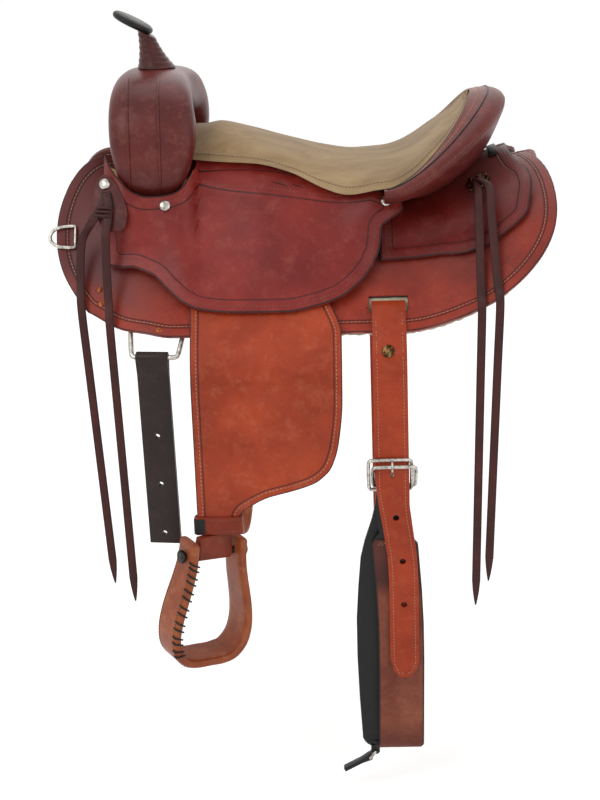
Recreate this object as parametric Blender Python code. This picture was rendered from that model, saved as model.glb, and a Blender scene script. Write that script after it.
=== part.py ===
"""Western trail saddle, built up as a saddler builds it: fleece and skirts, the wooden tree on
them, then stirrup leathers and fenders, seat and rear jockeys, and the padded suede seat on top.

Metres, +Z up, horn towards -X, near (left) side towards -Y. The origin is the top of the
horse's back under the middle of the saddle.
"""
import math

import bmesh
import bpy
from mathutils import Matrix, Vector

# Clearances
FIT = 0.0003
FREE_PLAY = 0.0007
FENDER_PLAY = 0.0032
BED_PLAY = 0.0011
WOOL_NAP = 0.0006
SUEDE_GAP = 0.0014

# Horse's back: an arc from the spine, then a straight side
BACK_ARC = 0.160
BACK_TOP_ANGLE = 5.0
BACK_SIDE_ANGLE = 52.0
WITHERS_START = -0.155
WITHERS_RUN = 0.150
WITHERS_RISE = 0.115
WITHERS_TOP_ANGLE = 56.0
WITHERS_SIDE_ANGLE = 62.0
LOIN_START = 0.140
LOIN_RUN = 0.200
LOIN_RISE = 0.045
LOIN_TOP_ANGLE = 4.0
LOIN_SIDE_ANGLE = 47.0

# Leather and fleece thicknesses
FLEECE = 0.014
SKIRT_LEATHER = 0.005
JOCKEY_LEATHER = 0.004
FENDER_LEATHER = 0.004
STIRRUP_STRAP = 0.0035
COVER_LEATHER = 0.004
ROSETTE_LEATHER = 0.003

# Skirt outline, along the saddle and down from the spine
SKIRT_FRONT = -0.317
SKIRT_REAR = 0.343
SKIRT_DEPTH = 0.249
SKIRT_FRONT_DROP = 0.012
SKIRT_FRONT_CORNER = 0.078
SKIRT_REAR_CORNER = 0.108
SKIRT_FRONT_WIDEST = 0.150
SKIRT_REAR_WIDEST = 0.125
SKIRT_SEAM = 0.0015
FLEECE_SET_BACK = 0.003

# Tree
BAR_TOP = 0.030
BAR_BOTTOM = 0.112
BAR_FRONT = -0.252
BAR_REAR = 0.280
BAR_FRONT_THICKNESS = 0.018
BAR_REAR_THICKNESS = 0.009
BAR_EDGE = 0.005

# Seat
SEAT_FRONT = -0.137
SEAT_REAR = 0.112
CUSHION = 0.016
CUSHION_EDGE = 0.004
CANTLE_HALF_WIDTH = 0.158
CANTLE_REACH = 0.120
CANTLE_LOW = 0.042
CANTLE_RISE = 0.106
ROLL_WIDTH = 0.046
ROLL_END = 0.014
CANTLE_FOOT_CENTRE = 0.125
CANTLE_FOOT_REACH = 0.127
CANTLE_FOOT_HALF = 0.088
GROUND_SHEET = 0.005
UNDER_SHARE = 0.955
UNDER_LEAD = 0.0045

# Fork and horn
FORK_CENTRE = -0.183
HORN_NECK_FOOT = 0.0255
HORN_NECK_TOP = 0.0135
HORN_POST_RADIUS = 0.008
HORN_CAP_X = -0.2105
HORN_CAP_Z = 0.2505
HORN_NECK_SET = 0.022
HORN_CAP_RADIUS = 0.029
HORN_CAP_THICKNESS = 0.009
HORN_CAP_TILT = 28.0

# Seat jockeys
JOCKEY_FRONT = -0.247
JOCKEY_TAB = 0.143

# Fender, stirrup leather and stirrup
FENDER_HINGE = -0.035
FENDER_TOP = 0.125
FENDER_STRAIGHT = 0.135
FENDER_BEND = 0.090
FENDER_FRONT = -0.135
FENDER_WIDEST = 0.060
FENDER_LENGTH = 0.352
NECK_WIDTH = 0.056
HOBBLE_HEIGHT = 0.026
HOBBLE_LEATHER = 0.003
LOOP_WIDTH = 0.048
BOLT_RADIUS = 0.005
BOLT_DROP = 0.052
STIRRUP_TURN_NEAR = 34.0
STIRRUP_TURN_OFF = -74.0
STIRRUP_LEAN = 8.0
HANGER_SET = 0.007
STIRRUP_DEPTH = 0.050
STIRRUP_WALL = 0.012
STIRRUP_HALF_WIDTH = 0.0525
STIRRUP_TOP_HALF = 0.036
STIRRUP_HEIGHT = 0.176

# Rigging, billets and cinch
RING_WIRE = 0.0035
RING_CENTRE = -0.183
RING_HALF_TOP = 0.038
RING_HALF_BOTTOM = 0.031
RING_REACH = 0.058
RING_POCKET_TOP = 0.206
RING_TOP_HEIGHT = -0.112
RING_BAR_HEIGHT = -0.159
RING_LIE = 0.0094
LATIGO_WIDTH = 0.042
LATIGO_LEATHER = 0.004
LATIGO_LENGTH = 0.262
LATIGO_LEAN = 3.2
LATIGO_SHIFT = -0.003
OFF_BILLET_FOLD = 0.080
OFF_BILLET_HALF = 0.0088
BILLET_CENTRE = 0.121
BILLET_WIDTH = 0.044
BILLET_LEATHER = 0.005
BILLET_SLOT = 0.2075
BILLET_LENGTH = 0.530
BUCKLE_DROP = 0.173
BUCKLE_HOLE_RISE = 0.062
BUCKLE_WIRE = 0.0026
BUCKLE_HALF_WIDTH = 0.0283
BUCKLE_HEIGHT = 0.046
BUCKLE_OFFSET = 0.0028
CINCH_WIDTH = 0.062
CINCH_LEATHER = 0.008
CINCH_HALF_LENGTH = 0.392
CINCH_EYE = 0.0064
CINCH_SPREAD = 0.0150
CHAPE_WIDTH = 0.031
CHAPE_SHIFT = -0.0054
HOLE_SPACING = 0.062
BILLET_HOLES = 4
BILLET_DRIFT = 0.0125
BILLET_TAIL = 0.039

CONNECTOR_WIRE = 0.0018

# Dees, rosettes, screws and strings
DEE_WIRE = 0.0024
DEE_HINGE = -0.291
DEE_HALF = 0.015
DEE_REACH = 0.034
SCREW_RADIUS = 0.0075
ROSETTE_SCREW_RISE = 0.026
ROSETTE_FACE = math.radians(32)
STRING_WIDTH = 0.011
STRING_LEATHER = 0.003
OFF_STRING_FOLD = 0.25
STRING_FOLD_GAP = 0.0045

# Offsets of each layer from the horse's back
SKIRT_IN = FLEECE + FIT
SKIRT_OUT = SKIRT_IN + SKIRT_LEATHER
BAR_IN = SKIRT_OUT + BED_PLAY + FIT
STRAP_IN = SKIRT_OUT + FREE_PLAY
STRAP_OUT = STRAP_IN + STIRRUP_STRAP
FENDER_IN = STRAP_OUT + FIT
FENDER_OUT = FENDER_IN + FENDER_LEATHER
HEM_IN = FENDER_OUT + FENDER_PLAY
HEM_OUT = HEM_IN + JOCKEY_LEATHER

NEAR = -1
OFF = 1
SIDES = (("near", NEAR), ("off", OFF))


def clear_scene():
    for thing in list(bpy.data.objects):
        bpy.data.objects.remove(thing, do_unlink=True)


def linear(hex_colour):
    channels = [int(hex_colour[i:i + 2], 16) / 255 for i in (0, 2, 4)]
    return [c / 12.92 if c <= 0.04045 else ((c + 0.055) / 1.055) ** 2.4 for c in channels]


def material(name, hex_colour, roughness, metallic=0.0):
    mat = bpy.data.materials.get(name)
    if mat is None:
        mat = bpy.data.materials.new(name)
        mat.use_nodes = True
        shader = mat.node_tree.nodes["Principled BSDF"]
        shader.inputs["Base Color"].default_value = (*linear(hex_colour), 1)
        shader.inputs["Roughness"].default_value = roughness
        shader.inputs["Metallic"].default_value = metallic
    return mat


SKIRT_RUSSET = ("skirt_leather", "9A3626", 0.45)
JOCKEY_OXBLOOD = ("jockey_leather", "842F29", 0.40)
FENDER_RUSSET = ("fender_leather", "AC442C", 0.42)
LATIGO_BROWN = ("latigo_leather", "3A2328", 0.50)
STRING_OXBLOOD = ("string_leather", "5A2A2C", 0.55)
STIRRUP_TAN = ("stirrup_leather_wrap", "A5583A", 0.45)
SUEDE = ("seat_suede", "A38C70", 0.95)
WOOL = ("fleece_wool", "E6DCC4", 0.95)
TREE_WOOD = ("tree_wood", "C9A878", 0.70)
BLACK_LEATHER = ("black_leather", "1E1C1C", 0.50)
STEEL = ("stainless_steel", "B9B7B2", 0.28, 1.0)
FELT = ("ground_seat_leather", "8A6648", 0.80)
BRONZE = ("antique_bronze", "7A5A38", 0.40, 1.0)


def smooth_step(t):
    t = min(max(t, 0.0), 1.0)
    return t * t * (3 - 2 * t)


def through(points, x):
    """Height at x of a smooth curve through (x, value) points, level with no overshoot."""
    if x <= points[0][0]:
        return points[0][1]
    if x >= points[-1][0]:
        return points[-1][1]
    i = max(k for k in range(len(points) - 1) if points[k][0] <= x)
    slopes = [(b[1] - a[1]) / (b[0] - a[0]) for a, b in zip(points, points[1:])]

    def tangent(k):
        if k == 0 or k == len(points) - 1:
            return slopes[min(k, len(slopes) - 1)]
        before, after = slopes[k - 1], slopes[k]
        return 0.0 if before * after <= 0 else 2 * before * after / (before + after)

    (x0, v0), (x1, v1) = points[i], points[i + 1]
    span = x1 - x0
    t = (x - x0) / span
    return ((2 * t ** 3 - 3 * t ** 2 + 1) * v0 + (t ** 3 - 2 * t ** 2 + t) * span * tangent(i)
            + (3 * t ** 2 - 2 * t ** 3) * v1 + (t ** 3 - t ** 2) * span * tangent(i + 1))


def back_section(x):
    """Height of the spine, angle beside it and angle of the straight side, at x."""
    withers = smooth_step((WITHERS_START - x) / WITHERS_RUN)
    loin = smooth_step((x - LOIN_START) / LOIN_RUN)
    top = BACK_TOP_ANGLE + (WITHERS_TOP_ANGLE - BACK_TOP_ANGLE) * withers
    top += (LOIN_TOP_ANGLE - BACK_TOP_ANGLE) * loin
    side = BACK_SIDE_ANGLE + (WITHERS_SIDE_ANGLE - BACK_SIDE_ANGLE) * withers
    side += (LOIN_SIDE_ANGLE - BACK_SIDE_ANGLE) * loin
    return WITHERS_RISE * withers + LOIN_RISE * loin, math.radians(top), math.radians(side)


def back_point(x, s, h, side=NEAR):
    """The point s down from the spine and h out from the horse's back."""
    spine, top, straight = back_section(x)
    radius = BACK_ARC / (straight - top)
    angle = top + min(s, BACK_ARC) / radius
    beyond = max(s - BACK_ARC, 0.0)
    out = radius * (math.sin(angle) - math.sin(top)) + beyond * math.cos(angle)
    down = radius * (math.cos(top) - math.cos(angle)) + beyond * math.sin(angle)
    return Vector((x, side * (out + h * math.sin(angle)), spine - down + h * math.cos(angle)))


def resting_height(x, y, h):
    """Height over the horse's back, h out from it, at a place seen from above."""
    low, high = 0.0, 0.4
    if abs(y) <= abs(back_point(x, low, h).y):
        return back_point(x, low, h).z
    for _ in range(40):
        middle = (low + high) / 2
        if abs(back_point(x, middle, h).y) < abs(y):
            low = middle
        else:
            high = middle
    return back_point(x, low, h).z


def add_object(name, mesh, finish, smooth=True, sharp=40.0):
    thing = bpy.data.objects.new(name, mesh)
    bpy.context.collection.objects.link(thing)
    thing.data.materials.append(material(*finish))
    if smooth:
        mesh.shade_smooth()
        mesh.set_sharp_from_angle(angle=math.radians(sharp))
    return thing


def mesh_from(name, build):
    """A mesh whose faces all point outwards, from a function that fills a bmesh."""
    bm = bmesh.new()
    build(bm)
    bmesh.ops.remove_doubles(bm, verts=bm.verts, dist=0.00001)
    bmesh.ops.recalc_face_normals(bm, faces=bm.faces)
    mesh = bpy.data.meshes.new(name)
    bm.to_mesh(mesh)
    bm.free()
    return mesh


def plate(name, outer, inner, finish):
    """A closed sheet between two grids of points."""
    rows, cols = len(outer), len(outer[0])

    def build(bm):
        tops = [[bm.verts.new(p) for p in row] for row in outer]
        bottoms = [[bm.verts.new(p) for p in row] for row in inner]
        for i in range(rows - 1):
            for j in range(cols - 1):
                bm.faces.new((tops[i][j], tops[i + 1][j], tops[i + 1][j + 1], tops[i][j + 1]))
                bm.faces.new((bottoms[i][j], bottoms[i][j + 1], bottoms[i + 1][j + 1],
                              bottoms[i + 1][j]))
        rim = [(i, 0) for i in range(rows)] + [(rows - 1, j) for j in range(1, cols)]
        rim += [(i, cols - 1) for i in range(rows - 2, -1, -1)] + [(0, j) for j in range(cols - 2, 0, -1)]
        for (i, j), (k, m) in zip(rim, rim[1:] + rim[:1]):
            bm.faces.new((tops[i][j], bottoms[i][j], bottoms[k][m], tops[k][m]))

    return add_object(name, mesh_from(name, build), finish)


def loft(name, rings, finish, sharp=40.0):
    """A closed solid skinned over rings of points, flat at both ends."""
    def build(bm):
        loops = [[bm.verts.new(p) for p in ring] for ring in rings]
        count = len(rings[0])
        for a, b in zip(loops, loops[1:]):
            for i in range(count):
                j = (i + 1) % count
                bm.faces.new((a[i], a[j], b[j], b[i]))
        bm.faces.new(loops[0][::-1])
        bm.faces.new(loops[-1])

    return add_object(name, mesh_from(name, build), finish, sharp=sharp)


def closed_loop(name, rings, finish, sharp=40.0):
    """A ring-shaped solid skinned over sections that come back to the first."""
    def build(bm):
        loops = [[bm.verts.new(p) for p in ring] for ring in rings]
        count = len(rings[0])
        for a, b in zip(loops, loops[1:] + loops[:1]):
            for i in range(count):
                j = (i + 1) % count
                bm.faces.new((a[i], a[j], b[j], b[i]))

    return add_object(name, mesh_from(name, build), finish, sharp=sharp)


def wire_loop(name, points, radius, finish, sides=8):
    """A bent wire, closed on itself, of round section."""
    rings = []
    count = len(points)
    centre = sum(points, Vector()) / count
    flat = (points[0] - centre).cross(points[count // 4] - centre).normalized()
    for i, p in enumerate(points):
        along = (points[(i + 1) % count] - points[i - 1]).normalized()
        across = along.cross(flat).normalized()
        rings.append([p + radius * (across * math.cos(a) + flat * math.sin(a))
                      for a in (2 * math.pi * k / sides for k in range(sides))])
    return closed_loop(name, rings, finish)


def extruded(name, outline, along, finish, sharp=30.0):
    """A flat outline swept along one direction."""
    return loft(name, [outline, [p + along for p in outline]], finish, sharp=sharp)


def cut_away(thing, cutter):
    cutter.hide_render = True
    cutter.display_type = "WIRE"
    cut = thing.modifiers.new("cut", "BOOLEAN")
    cut.operation = "DIFFERENCE"
    cut.object = cutter


def join_on(thing, other):
    other.hide_render = True
    other.display_type = "WIRE"
    joined = thing.modifiers.new("join", "BOOLEAN")
    joined.operation = "UNION"
    joined.object = other


def cylinder_between(name, start, end, radius, finish, sides=16, side_x=None):
    """A round bar with flat ends."""
    axis = (end - start).normalized()
    first = (side_x or axis.orthogonal()).normalized()
    second = axis.cross(first)
    turns = [2 * math.pi * k / sides for k in range(sides)]
    return loft(name, [[p + radius * (first * math.cos(a) + second * math.sin(a)) for a in turns]
                       for p in (start, end)], finish)


def set_origin(thing, point):
    """Put the object's own origin on its joint, with its shape left in place."""
    thing.data.transform(Matrix.Translation(-point))
    thing.location = point


def turn_about(thing, point, axis, degrees):
    spin = Matrix.Translation(point) @ Matrix.Rotation(math.radians(degrees), 4, axis)
    thing.data.transform(spin @ Matrix.Translation(-point))


# Skirts and fleece

def skirt_bottom(x):
    return SKIRT_DEPTH + SKIRT_FRONT_DROP * smooth_step((-0.185 - x) / 0.060)


def end_curve(s, widest, bottom, corner, shoulder):
    """How far a skirt's end is drawn in from its widest place, at s down from the spine."""
    if s < widest:
        return shoulder * ((widest - s) / widest) ** 2
    return corner * (1 - math.sqrt(max(1 - ((s - widest) / (bottom - widest)) ** 2, 0.0)))


def skirt_ends(s):
    front_bottom = SKIRT_DEPTH + SKIRT_FRONT_DROP
    front = SKIRT_FRONT + end_curve(s, SKIRT_FRONT_WIDEST, front_bottom, SKIRT_FRONT_CORNER, 0.072)
    rear = SKIRT_REAR - end_curve(s, SKIRT_REAR_WIDEST, SKIRT_DEPTH, SKIRT_REAR_CORNER, 0.028)
    return front, rear


def skirt_grid(h, side, set_back, rows=10, cols=20):
    grid = []
    for i in range(rows):
        t = i / (rows - 1)
        share = t * (1.35 - 0.35 * t)
        row = []
        for j in range(cols):
            front, rear = skirt_ends(share * SKIRT_DEPTH)
            x = front + set_back + (rear - front - 2 * set_back) * j / (cols - 1)
            gullet = 0.016 * smooth_step((-0.175 - x) / 0.070)
            top = SKIRT_SEAM + gullet
            bottom = skirt_bottom(x) - set_back
            row.append(back_point(x, top + (bottom - top) * share, h, side))
        grid.append(row)
    return grid


def make_skirt(word, side):
    skirt = plate("skirt_" + word, skirt_grid(SKIRT_OUT, side, 0), skirt_grid(SKIRT_IN, side, 0),
                  SKIRT_RUSSET)
    slot = billet_slot_cutter("billet_slot_cutter_" + word, side)
    cut_away(skirt, slot)
    return skirt


def make_fleece(word, side):
    outer = skirt_grid(FLEECE - WOOL_NAP, side, FLEECE_SET_BACK)
    inner = skirt_grid(0, side, FLEECE_SET_BACK)
    fleece = plate("fleece_" + word, outer, inner, WOOL)
    pocket = back_box("ring_pocket_" + word, side, RING_CENTRE, RING_HALF_TOP + 0.012,
                      RING_POCKET_TOP, SKIRT_DEPTH + 0.06, -0.020, FLEECE + 0.012)
    cut_away(fleece, pocket)
    return fleece


def back_box(name, side, x_centre, x_half, s_low, s_high, h_low, h_high):
    """A block that follows the horse's back, to cut pockets and slots."""
    steps = 5
    rings = []
    for k in range(steps):
        s = s_low + (s_high - s_low) * k / (steps - 1)
        rings.append([back_point(x_centre - x_half, s, h_low, side),
                      back_point(x_centre + x_half, s, h_low, side),
                      back_point(x_centre + x_half, s, h_high, side),
                      back_point(x_centre - x_half, s, h_high, side)])
    return loft(name, rings, SKIRT_RUSSET)


def billet_slot_cutter(name, side):
    return back_box(name, side, BILLET_CENTRE, BILLET_WIDTH / 2 + 0.003, BILLET_SLOT - 0.008,
                    BILLET_SLOT + 0.0135, SKIRT_IN - 0.003, SKIRT_OUT + 0.003)


# Tree

def bar_thickness(x):
    thinner = smooth_step((x - 0.085) / 0.055)
    return BAR_FRONT_THICKNESS + (BAR_REAR_THICKNESS - BAR_FRONT_THICKNESS) * thinner


def make_bar(word, side, rows=7, cols=16):
    outer, inner = [], []
    for i in range(rows):
        t = i / (rows - 1)
        outer_row, inner_row = [], []
        for j in range(cols):
            u = j / (cols - 1)
            x = BAR_FRONT + (BAR_REAR - BAR_FRONT) * u
            pinch = 0.016 * (2 * u - 1) ** 6
            s = BAR_TOP + pinch + (BAR_BOTTOM - BAR_TOP - 2 * pinch) * t
            crown = 1 - (2 * t - 1) ** 4
            h = BAR_EDGE + (bar_thickness(x) - BAR_EDGE) * crown
            outer_row.append(back_point(x, s, BAR_IN + h, side))
            inner_row.append(back_point(x, s, BAR_IN, side))
        outer.append(outer_row)
        inner.append(inner_row)
    return plate("tree_bar_" + word, outer, inner, TREE_WOOD)


def bar_top(x):
    return BAR_IN + bar_thickness(x)


FORK_SQUARE = 3.2
# Fork stations from the foot on the bar, up the swell, to the top under the horn:
# out from the middle, height, length along the saddle, thickness, centre along the saddle
FORK_STATIONS = (
    (0.088, -0.005, 0.050, 0.026, -0.002),
    (0.101, 0.035, 0.056, 0.030, -0.002),
    (0.110, 0.062, 0.082, 0.036, 0.001),
    (0.113, 0.095, 0.100, 0.045, 0.003),
    (0.105, 0.125, 0.104, 0.052, 0.003),
    (0.084, 0.147, 0.100, 0.052, 0.001),
    (0.048, 0.159, 0.094, 0.048, -0.001),
    (0.000, 0.163, 0.088, 0.044, -0.003),
)


def fork_sections(grow, skip=0, sides=12):
    """Rounded sections along the arch of the fork, grown outwards by a leather's thickness."""
    half = [Vector((FORK_CENTRE + c, -y, z)) for y, z, w, t, c in FORK_STATIONS]
    sizes = [(w, t) for y, z, w, t, c in FORK_STATIONS]
    path = half + [Vector((p.x, -p.y, p.z)) for p in half[-2::-1]]
    sizes = sizes + sizes[-2::-1]
    path, sizes = refine(path, sizes, 2)
    rings = []
    for i, p in enumerate(path):
        ahead, behind = path[min(i + 1, len(path) - 1)], path[max(i - 1, 0)]
        along = Vector((0, ahead.y - behind.y, ahead.z - behind.z)).normalized()
        normal = Vector((0, -along.z, along.y))
        w, t = sizes[i]
        ring = []
        for k in range(sides):
            a = 2 * math.pi * k / sides
            c, s = math.cos(a), math.sin(a)
            corner = (abs(c) ** FORK_SQUARE + abs(s) ** FORK_SQUARE) ** (-1 / FORK_SQUARE)
            ring.append(p + Vector((1, 0, 0)) * (w / 2 + grow) * c * corner
                        + normal * (t / 2 + grow) * s * corner)
        rings.append(ring)
    return rings[skip:len(rings) - skip]


def swell_top(x, y, grow):
    """Height of the top of the fork, grown by a leather's thickness, near the horn."""
    stations = sorted((s[0], s[1], s[2], s[3], s[4]) for s in FORK_STATIONS[-3:])
    z, w, t, c = (through([(s[0], s[k]) for s in stations], abs(y)) for k in (1, 2, 3, 4))
    share = min(abs(x - FORK_CENTRE - c) / (w / 2 + grow), 0.98)
    return z + (t / 2 + grow) * (1 - share ** FORK_SQUARE) ** (1 / FORK_SQUARE)


def refine(path, sizes, steps):
    """More stations along a path, by a Catmull-Rom curve through the given ones."""
    points, values = [], []
    last = len(path) - 1
    for i in range(last):
        p = [path[min(max(i + k, 0), last)] for k in (-1, 0, 1, 2)]
        v = [sizes[min(max(i + k, 0), last)] for k in (-1, 0, 1, 2)]
        for n in range(steps):
            t = n / steps
            b = (-t / 2 + t * t - t ** 3 / 2, 1 - 2.5 * t * t + 1.5 * t ** 3,
                 t / 2 + 2 * t * t - 1.5 * t ** 3, (t ** 3 - t * t) / 2)
            points.append(sum((q * w for q, w in zip(p, b)), Vector()))
            values.append([sum(x[m] * w for x, w in zip(v, b)) for m in range(len(v[0]))])
    return points + [path[-1]], values + [sizes[-1]]


def make_fork():
    rings = fork_sections(0.0)
    for ring in (rings[0], rings[-1]):
        for q in ring:
            q.z = resting_height(q.x, q.y, bar_top(q.x) + BED_PLAY)
    return loft("tree_fork", rings, TREE_WOOD)


def make_swell_cover():
    cover = loft("swell_cover", fork_sections(COVER_LEATHER + 2 * FIT, 2), JOCKEY_OXBLOOD)
    cut_away(cover, loft("swell_cover_inside", fork_sections(2 * FIT), TREE_WOOD))
    foot, top = horn_axis()
    axis = (top - foot).normalized()
    hole = cylinder_between("horn_post_hole", foot - axis * 0.02, top, HORN_POST_RADIUS + FIT,
                            STEEL, 20)
    cut_away(cover, hole)
    return cover


# Horn

def horn_tilt():
    """Turn of the horn's cap, with its disc's upward and forward directions."""
    tilt = Matrix.Rotation(math.radians(HORN_CAP_TILT), 4, "Y")
    return tilt, tilt @ Vector((0, 0, 1)), tilt @ Vector((-1, 0, 0))


def horn_axis():
    """Foot of the post on the fork, and the middle of the neck's sloping top."""
    tilt, normal, forward = horn_tilt()
    centre = Vector((HORN_CAP_X, 0, HORN_CAP_Z))
    top = centre - normal * (HORN_CAP_THICKNESS / 2 + FIT) - forward * HORN_NECK_SET
    x = FORK_CENTRE - 0.002
    return Vector((x, 0, swell_top(x, 0, 0) + 2 * FIT)), top


def make_horn_post():
    foot, top = horn_axis()
    axis = (top - foot).normalized()
    return cylinder_between("horn_post", foot + axis * 0.0016, top - axis * 0.006,
                            HORN_POST_RADIUS, STEEL, 20)


def make_horn_wrap():
    foot, top = horn_axis()
    steps = 8
    rings = []
    for i in range(steps + 1):
        t = i / steps
        flare = (1 - t) ** 2.0
        lift = COVER_LEATHER + 2 * FIT
        centre = (foot + Vector((0.003, 0, lift))).lerp(top, t)
        radius = HORN_NECK_TOP + (HORN_NECK_FOOT - HORN_NECK_TOP) * flare
        lean = Matrix.Rotation(math.radians(HORN_CAP_TILT) * t ** 1.5, 4, "Y")
        ring = []
        for k in range(24):
            a = 2 * math.pi * k / 24
            spot = centre + lean @ Vector((radius * math.cos(a), 1.12 * radius * math.sin(a), 0))
            if i == 0:
                spot.z = swell_top(spot.x, spot.y, COVER_LEATHER + FIT) + 0.0015
            ring.append(spot)
        rings.append(ring)
    wrap = loft("horn_neck_wrap", rings, JOCKEY_OXBLOOD)
    axis = (top - foot).normalized()
    bore = cylinder_between("horn_neck_bore", foot - axis * 0.01, top - axis * 0.005,
                            HORN_POST_RADIUS + FIT, STEEL, 20)
    cut_away(wrap, bore)
    return wrap


def make_horn_cap():
    tilt, normal, forward = horn_tilt()
    profile = []
    for k in range(7):
        a = math.pi * k / 6
        profile.append((HORN_CAP_RADIUS - HORN_CAP_THICKNESS / 2 * (1 - math.sin(a)),
                        -HORN_CAP_THICKNESS / 2 * math.cos(a)))
    rings = [[Vector((r * math.cos(a), r * math.sin(a), z))
              for a in (2 * math.pi * k / 24 for k in range(24))] for r, z in profile]
    cap = loft("horn_cap", rings, BLACK_LEATHER, sharp=50)
    cap.data.transform(Matrix.Translation(Vector((HORN_CAP_X, 0, HORN_CAP_Z))) @ tilt)
    return cap


# Seat

# Along the seat: height of its middle, half width at the stitched edge, height of that edge
SEAT_MIDDLE = ((-0.137, 0.113), (-0.103, 0.112), (-0.065, 0.103), (-0.016, 0.087),
               (0.039, 0.073), (0.085, 0.066), (0.112, 0.066))
SEAT_EDGE_OUT = ((-0.137, 0.089), (-0.093, 0.100), (-0.055, 0.109), (-0.002, 0.120),
                 (0.043, 0.136), (0.080, 0.150), (0.112, CANTLE_HALF_WIDTH))
SEAT_EDGE_UP = ((-0.137, 0.077), (-0.093, 0.074), (-0.050, 0.073), (-0.002, 0.062),
                (0.043, 0.041), (0.070, 0.034), (0.112, CANTLE_LOW))


def rim_point(angle):
    """The line where suede meets the cantle's roll: 90 degrees at an arm's foot, 0 at the top."""
    c = max(math.cos(math.radians(angle)), 0.0)
    return Vector((SEAT_REAR + 0.007 + CANTLE_REACH * c,
                   CANTLE_HALF_WIDTH * math.sin(math.radians(angle)),
                   CANTLE_LOW + CANTLE_RISE * c ** 1.6))


def seat_top(v, w):
    """Top of the seat: v from -1 at the fork to 0 at the cantle's foot and 1 at its top."""
    reach = abs(w)
    side = -1 if w < 0 else 1
    if v <= 0:
        x = SEAT_FRONT + (SEAT_REAR - SEAT_FRONT) * (v + 1)
        middle = Vector((x, 0, through(SEAT_MIDDLE, x)))
        edge = Vector((x, through(SEAT_EDGE_OUT, x), through(SEAT_EDGE_UP, x)))
        power = 2.3
    else:
        edge = rim_point(90 * (1 - v))
        low = Vector((SEAT_REAR, 0, through(SEAT_MIDDLE, SEAT_REAR)))
        high = rim_point(0)
        middle = Vector((low.x + (high.x - low.x) * v ** 0.85, 0, low.z + (high.z - low.z) * v ** 1.7))
        power = 2.3 + 0.5 * v
    point = middle.lerp(edge, reach ** power)
    point.y = side * edge.y * reach
    point.x = middle.x + (edge.x - middle.x) * reach ** 2
    return point


def seat_normal(v, w):
    step = 0.01
    a = seat_top(min(v + step, 1), w) - seat_top(max(v - step, -1), w)
    b = seat_top(v, min(w + step, 1)) - seat_top(v, max(w - step, -1))
    if v > 0.96:
        return seat_normal(0.96, w)
    normal = a.cross(b)
    return normal.normalized() if normal.z > 0 else -normal.normalized()


def cushion_depth(v, w):
    ends = 1 - max(abs(v) * 1.03 - 0.03, 0) ** 7
    return CUSHION_EDGE + (CUSHION - CUSHION_EDGE) * (1 - abs(w) ** 6) * ends


def under_cushion(v, w, extra):
    """Underside of the cushion, drawn in a little from its top's edge."""
    inner_v = v * UNDER_SHARE if v > 0 else v + 0.004
    spot = seat_top(inner_v, w * UNDER_SHARE) - Vector((UNDER_LEAD * smooth_step(v), 0, 0))
    return spot - seat_normal(inner_v, w * UNDER_SHARE) * (cushion_depth(v, w) + extra)


def make_seat_cushion(rows=18, cols=15):
    outer, inner = [], []
    for i in range(rows):
        v = -1 + 1.965 * i / (rows - 1)
        shares = [2 * j / (cols - 1) - 1 for j in range(cols)]
        outer.append([seat_top(v, w) for w in shares])
        inner.append([under_cushion(v, w, 0) for w in shares])
    return plate("seat_cushion", outer, inner, SUEDE)


def ground_seat_place(v, w):
    """Underside of the ground seat: down on the bars, then a leather sheet up the cantle."""
    top = under_cushion(v, w, BED_PLAY)
    sheet = under_cushion(v, w, BED_PLAY + GROUND_SHEET)
    low = top.copy()
    low.z = min(resting_height(top.x, top.y, bar_top(top.x) + BED_PLAY), top.z - 0.004)
    return low.lerp(sheet, smooth_step((v + 0.22) / 0.20))


def make_ground_seat(rows=16, cols=11):
    outer, inner = [], []
    for i in range(rows):
        v = -0.97 + 1.67 * i / (rows - 1)
        half = 0.80 - 0.06 * smooth_step(v / 0.3)
        shares = [half * (2 * j / (cols - 1) - 1) for j in range(cols)]
        outer.append([under_cushion(v, w, BED_PLAY) for w in shares])
        inner.append([ground_seat_place(v, w) for w in shares])
    return plate("ground_seat", outer, inner, FELT)


# Cantle

def roll_width(angle):
    return ROLL_END + (ROLL_WIDTH - ROLL_END) * math.cos(math.radians(angle)) ** 1.2


def cantle_foot(angle, inset=0.0):
    """Where the cantle meets the rear jockeys, seen from above."""
    c, s = math.cos(math.radians(angle)), math.sin(math.radians(angle))
    y = (CANTLE_FOOT_HALF - inset) * abs(s) ** 0.8
    return (CANTLE_FOOT_CENTRE + (CANTLE_FOOT_REACH - inset) * max(c, 0.0),
            -y if s < 0 else y)


def cantle_profile(angle):
    """Section of the cantle's back at one place round its arc, from the suede to the foot."""
    a = math.radians(angle)
    outward = Vector((math.cos(a), math.sin(a), 0))
    up = Vector((0, 0, 1))
    lip = rim_point(angle) + outward * SUEDE_GAP
    width = roll_width(angle)
    lift = 0.3 + 0.7 * math.cos(a)
    front = lip - up * 0.0030
    crown = lip + outward * width * 0.50 + up * 0.0022 * lift
    brow = lip + outward * width * 0.86 - up * 0.0030 * lift
    edge = lip + outward * width - up * (0.012 * lift + 0.003)
    under = lip + outward * (width - 0.007) - up * (0.030 * lift + 0.005)
    x, y = cantle_foot(angle)
    foot = Vector((x, y, resting_height(x, y, rear_jockey_out(x, y) + BED_PLAY)))
    short = under - outward * 0.018 - up * 0.006
    foot = foot.lerp(short, smooth_step((abs(angle) - 66) / 18))
    middle = under.lerp(foot, 0.45) - up * 0.004 * lift
    return [front, lip, crown, brow, edge, under, middle, foot]


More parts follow.
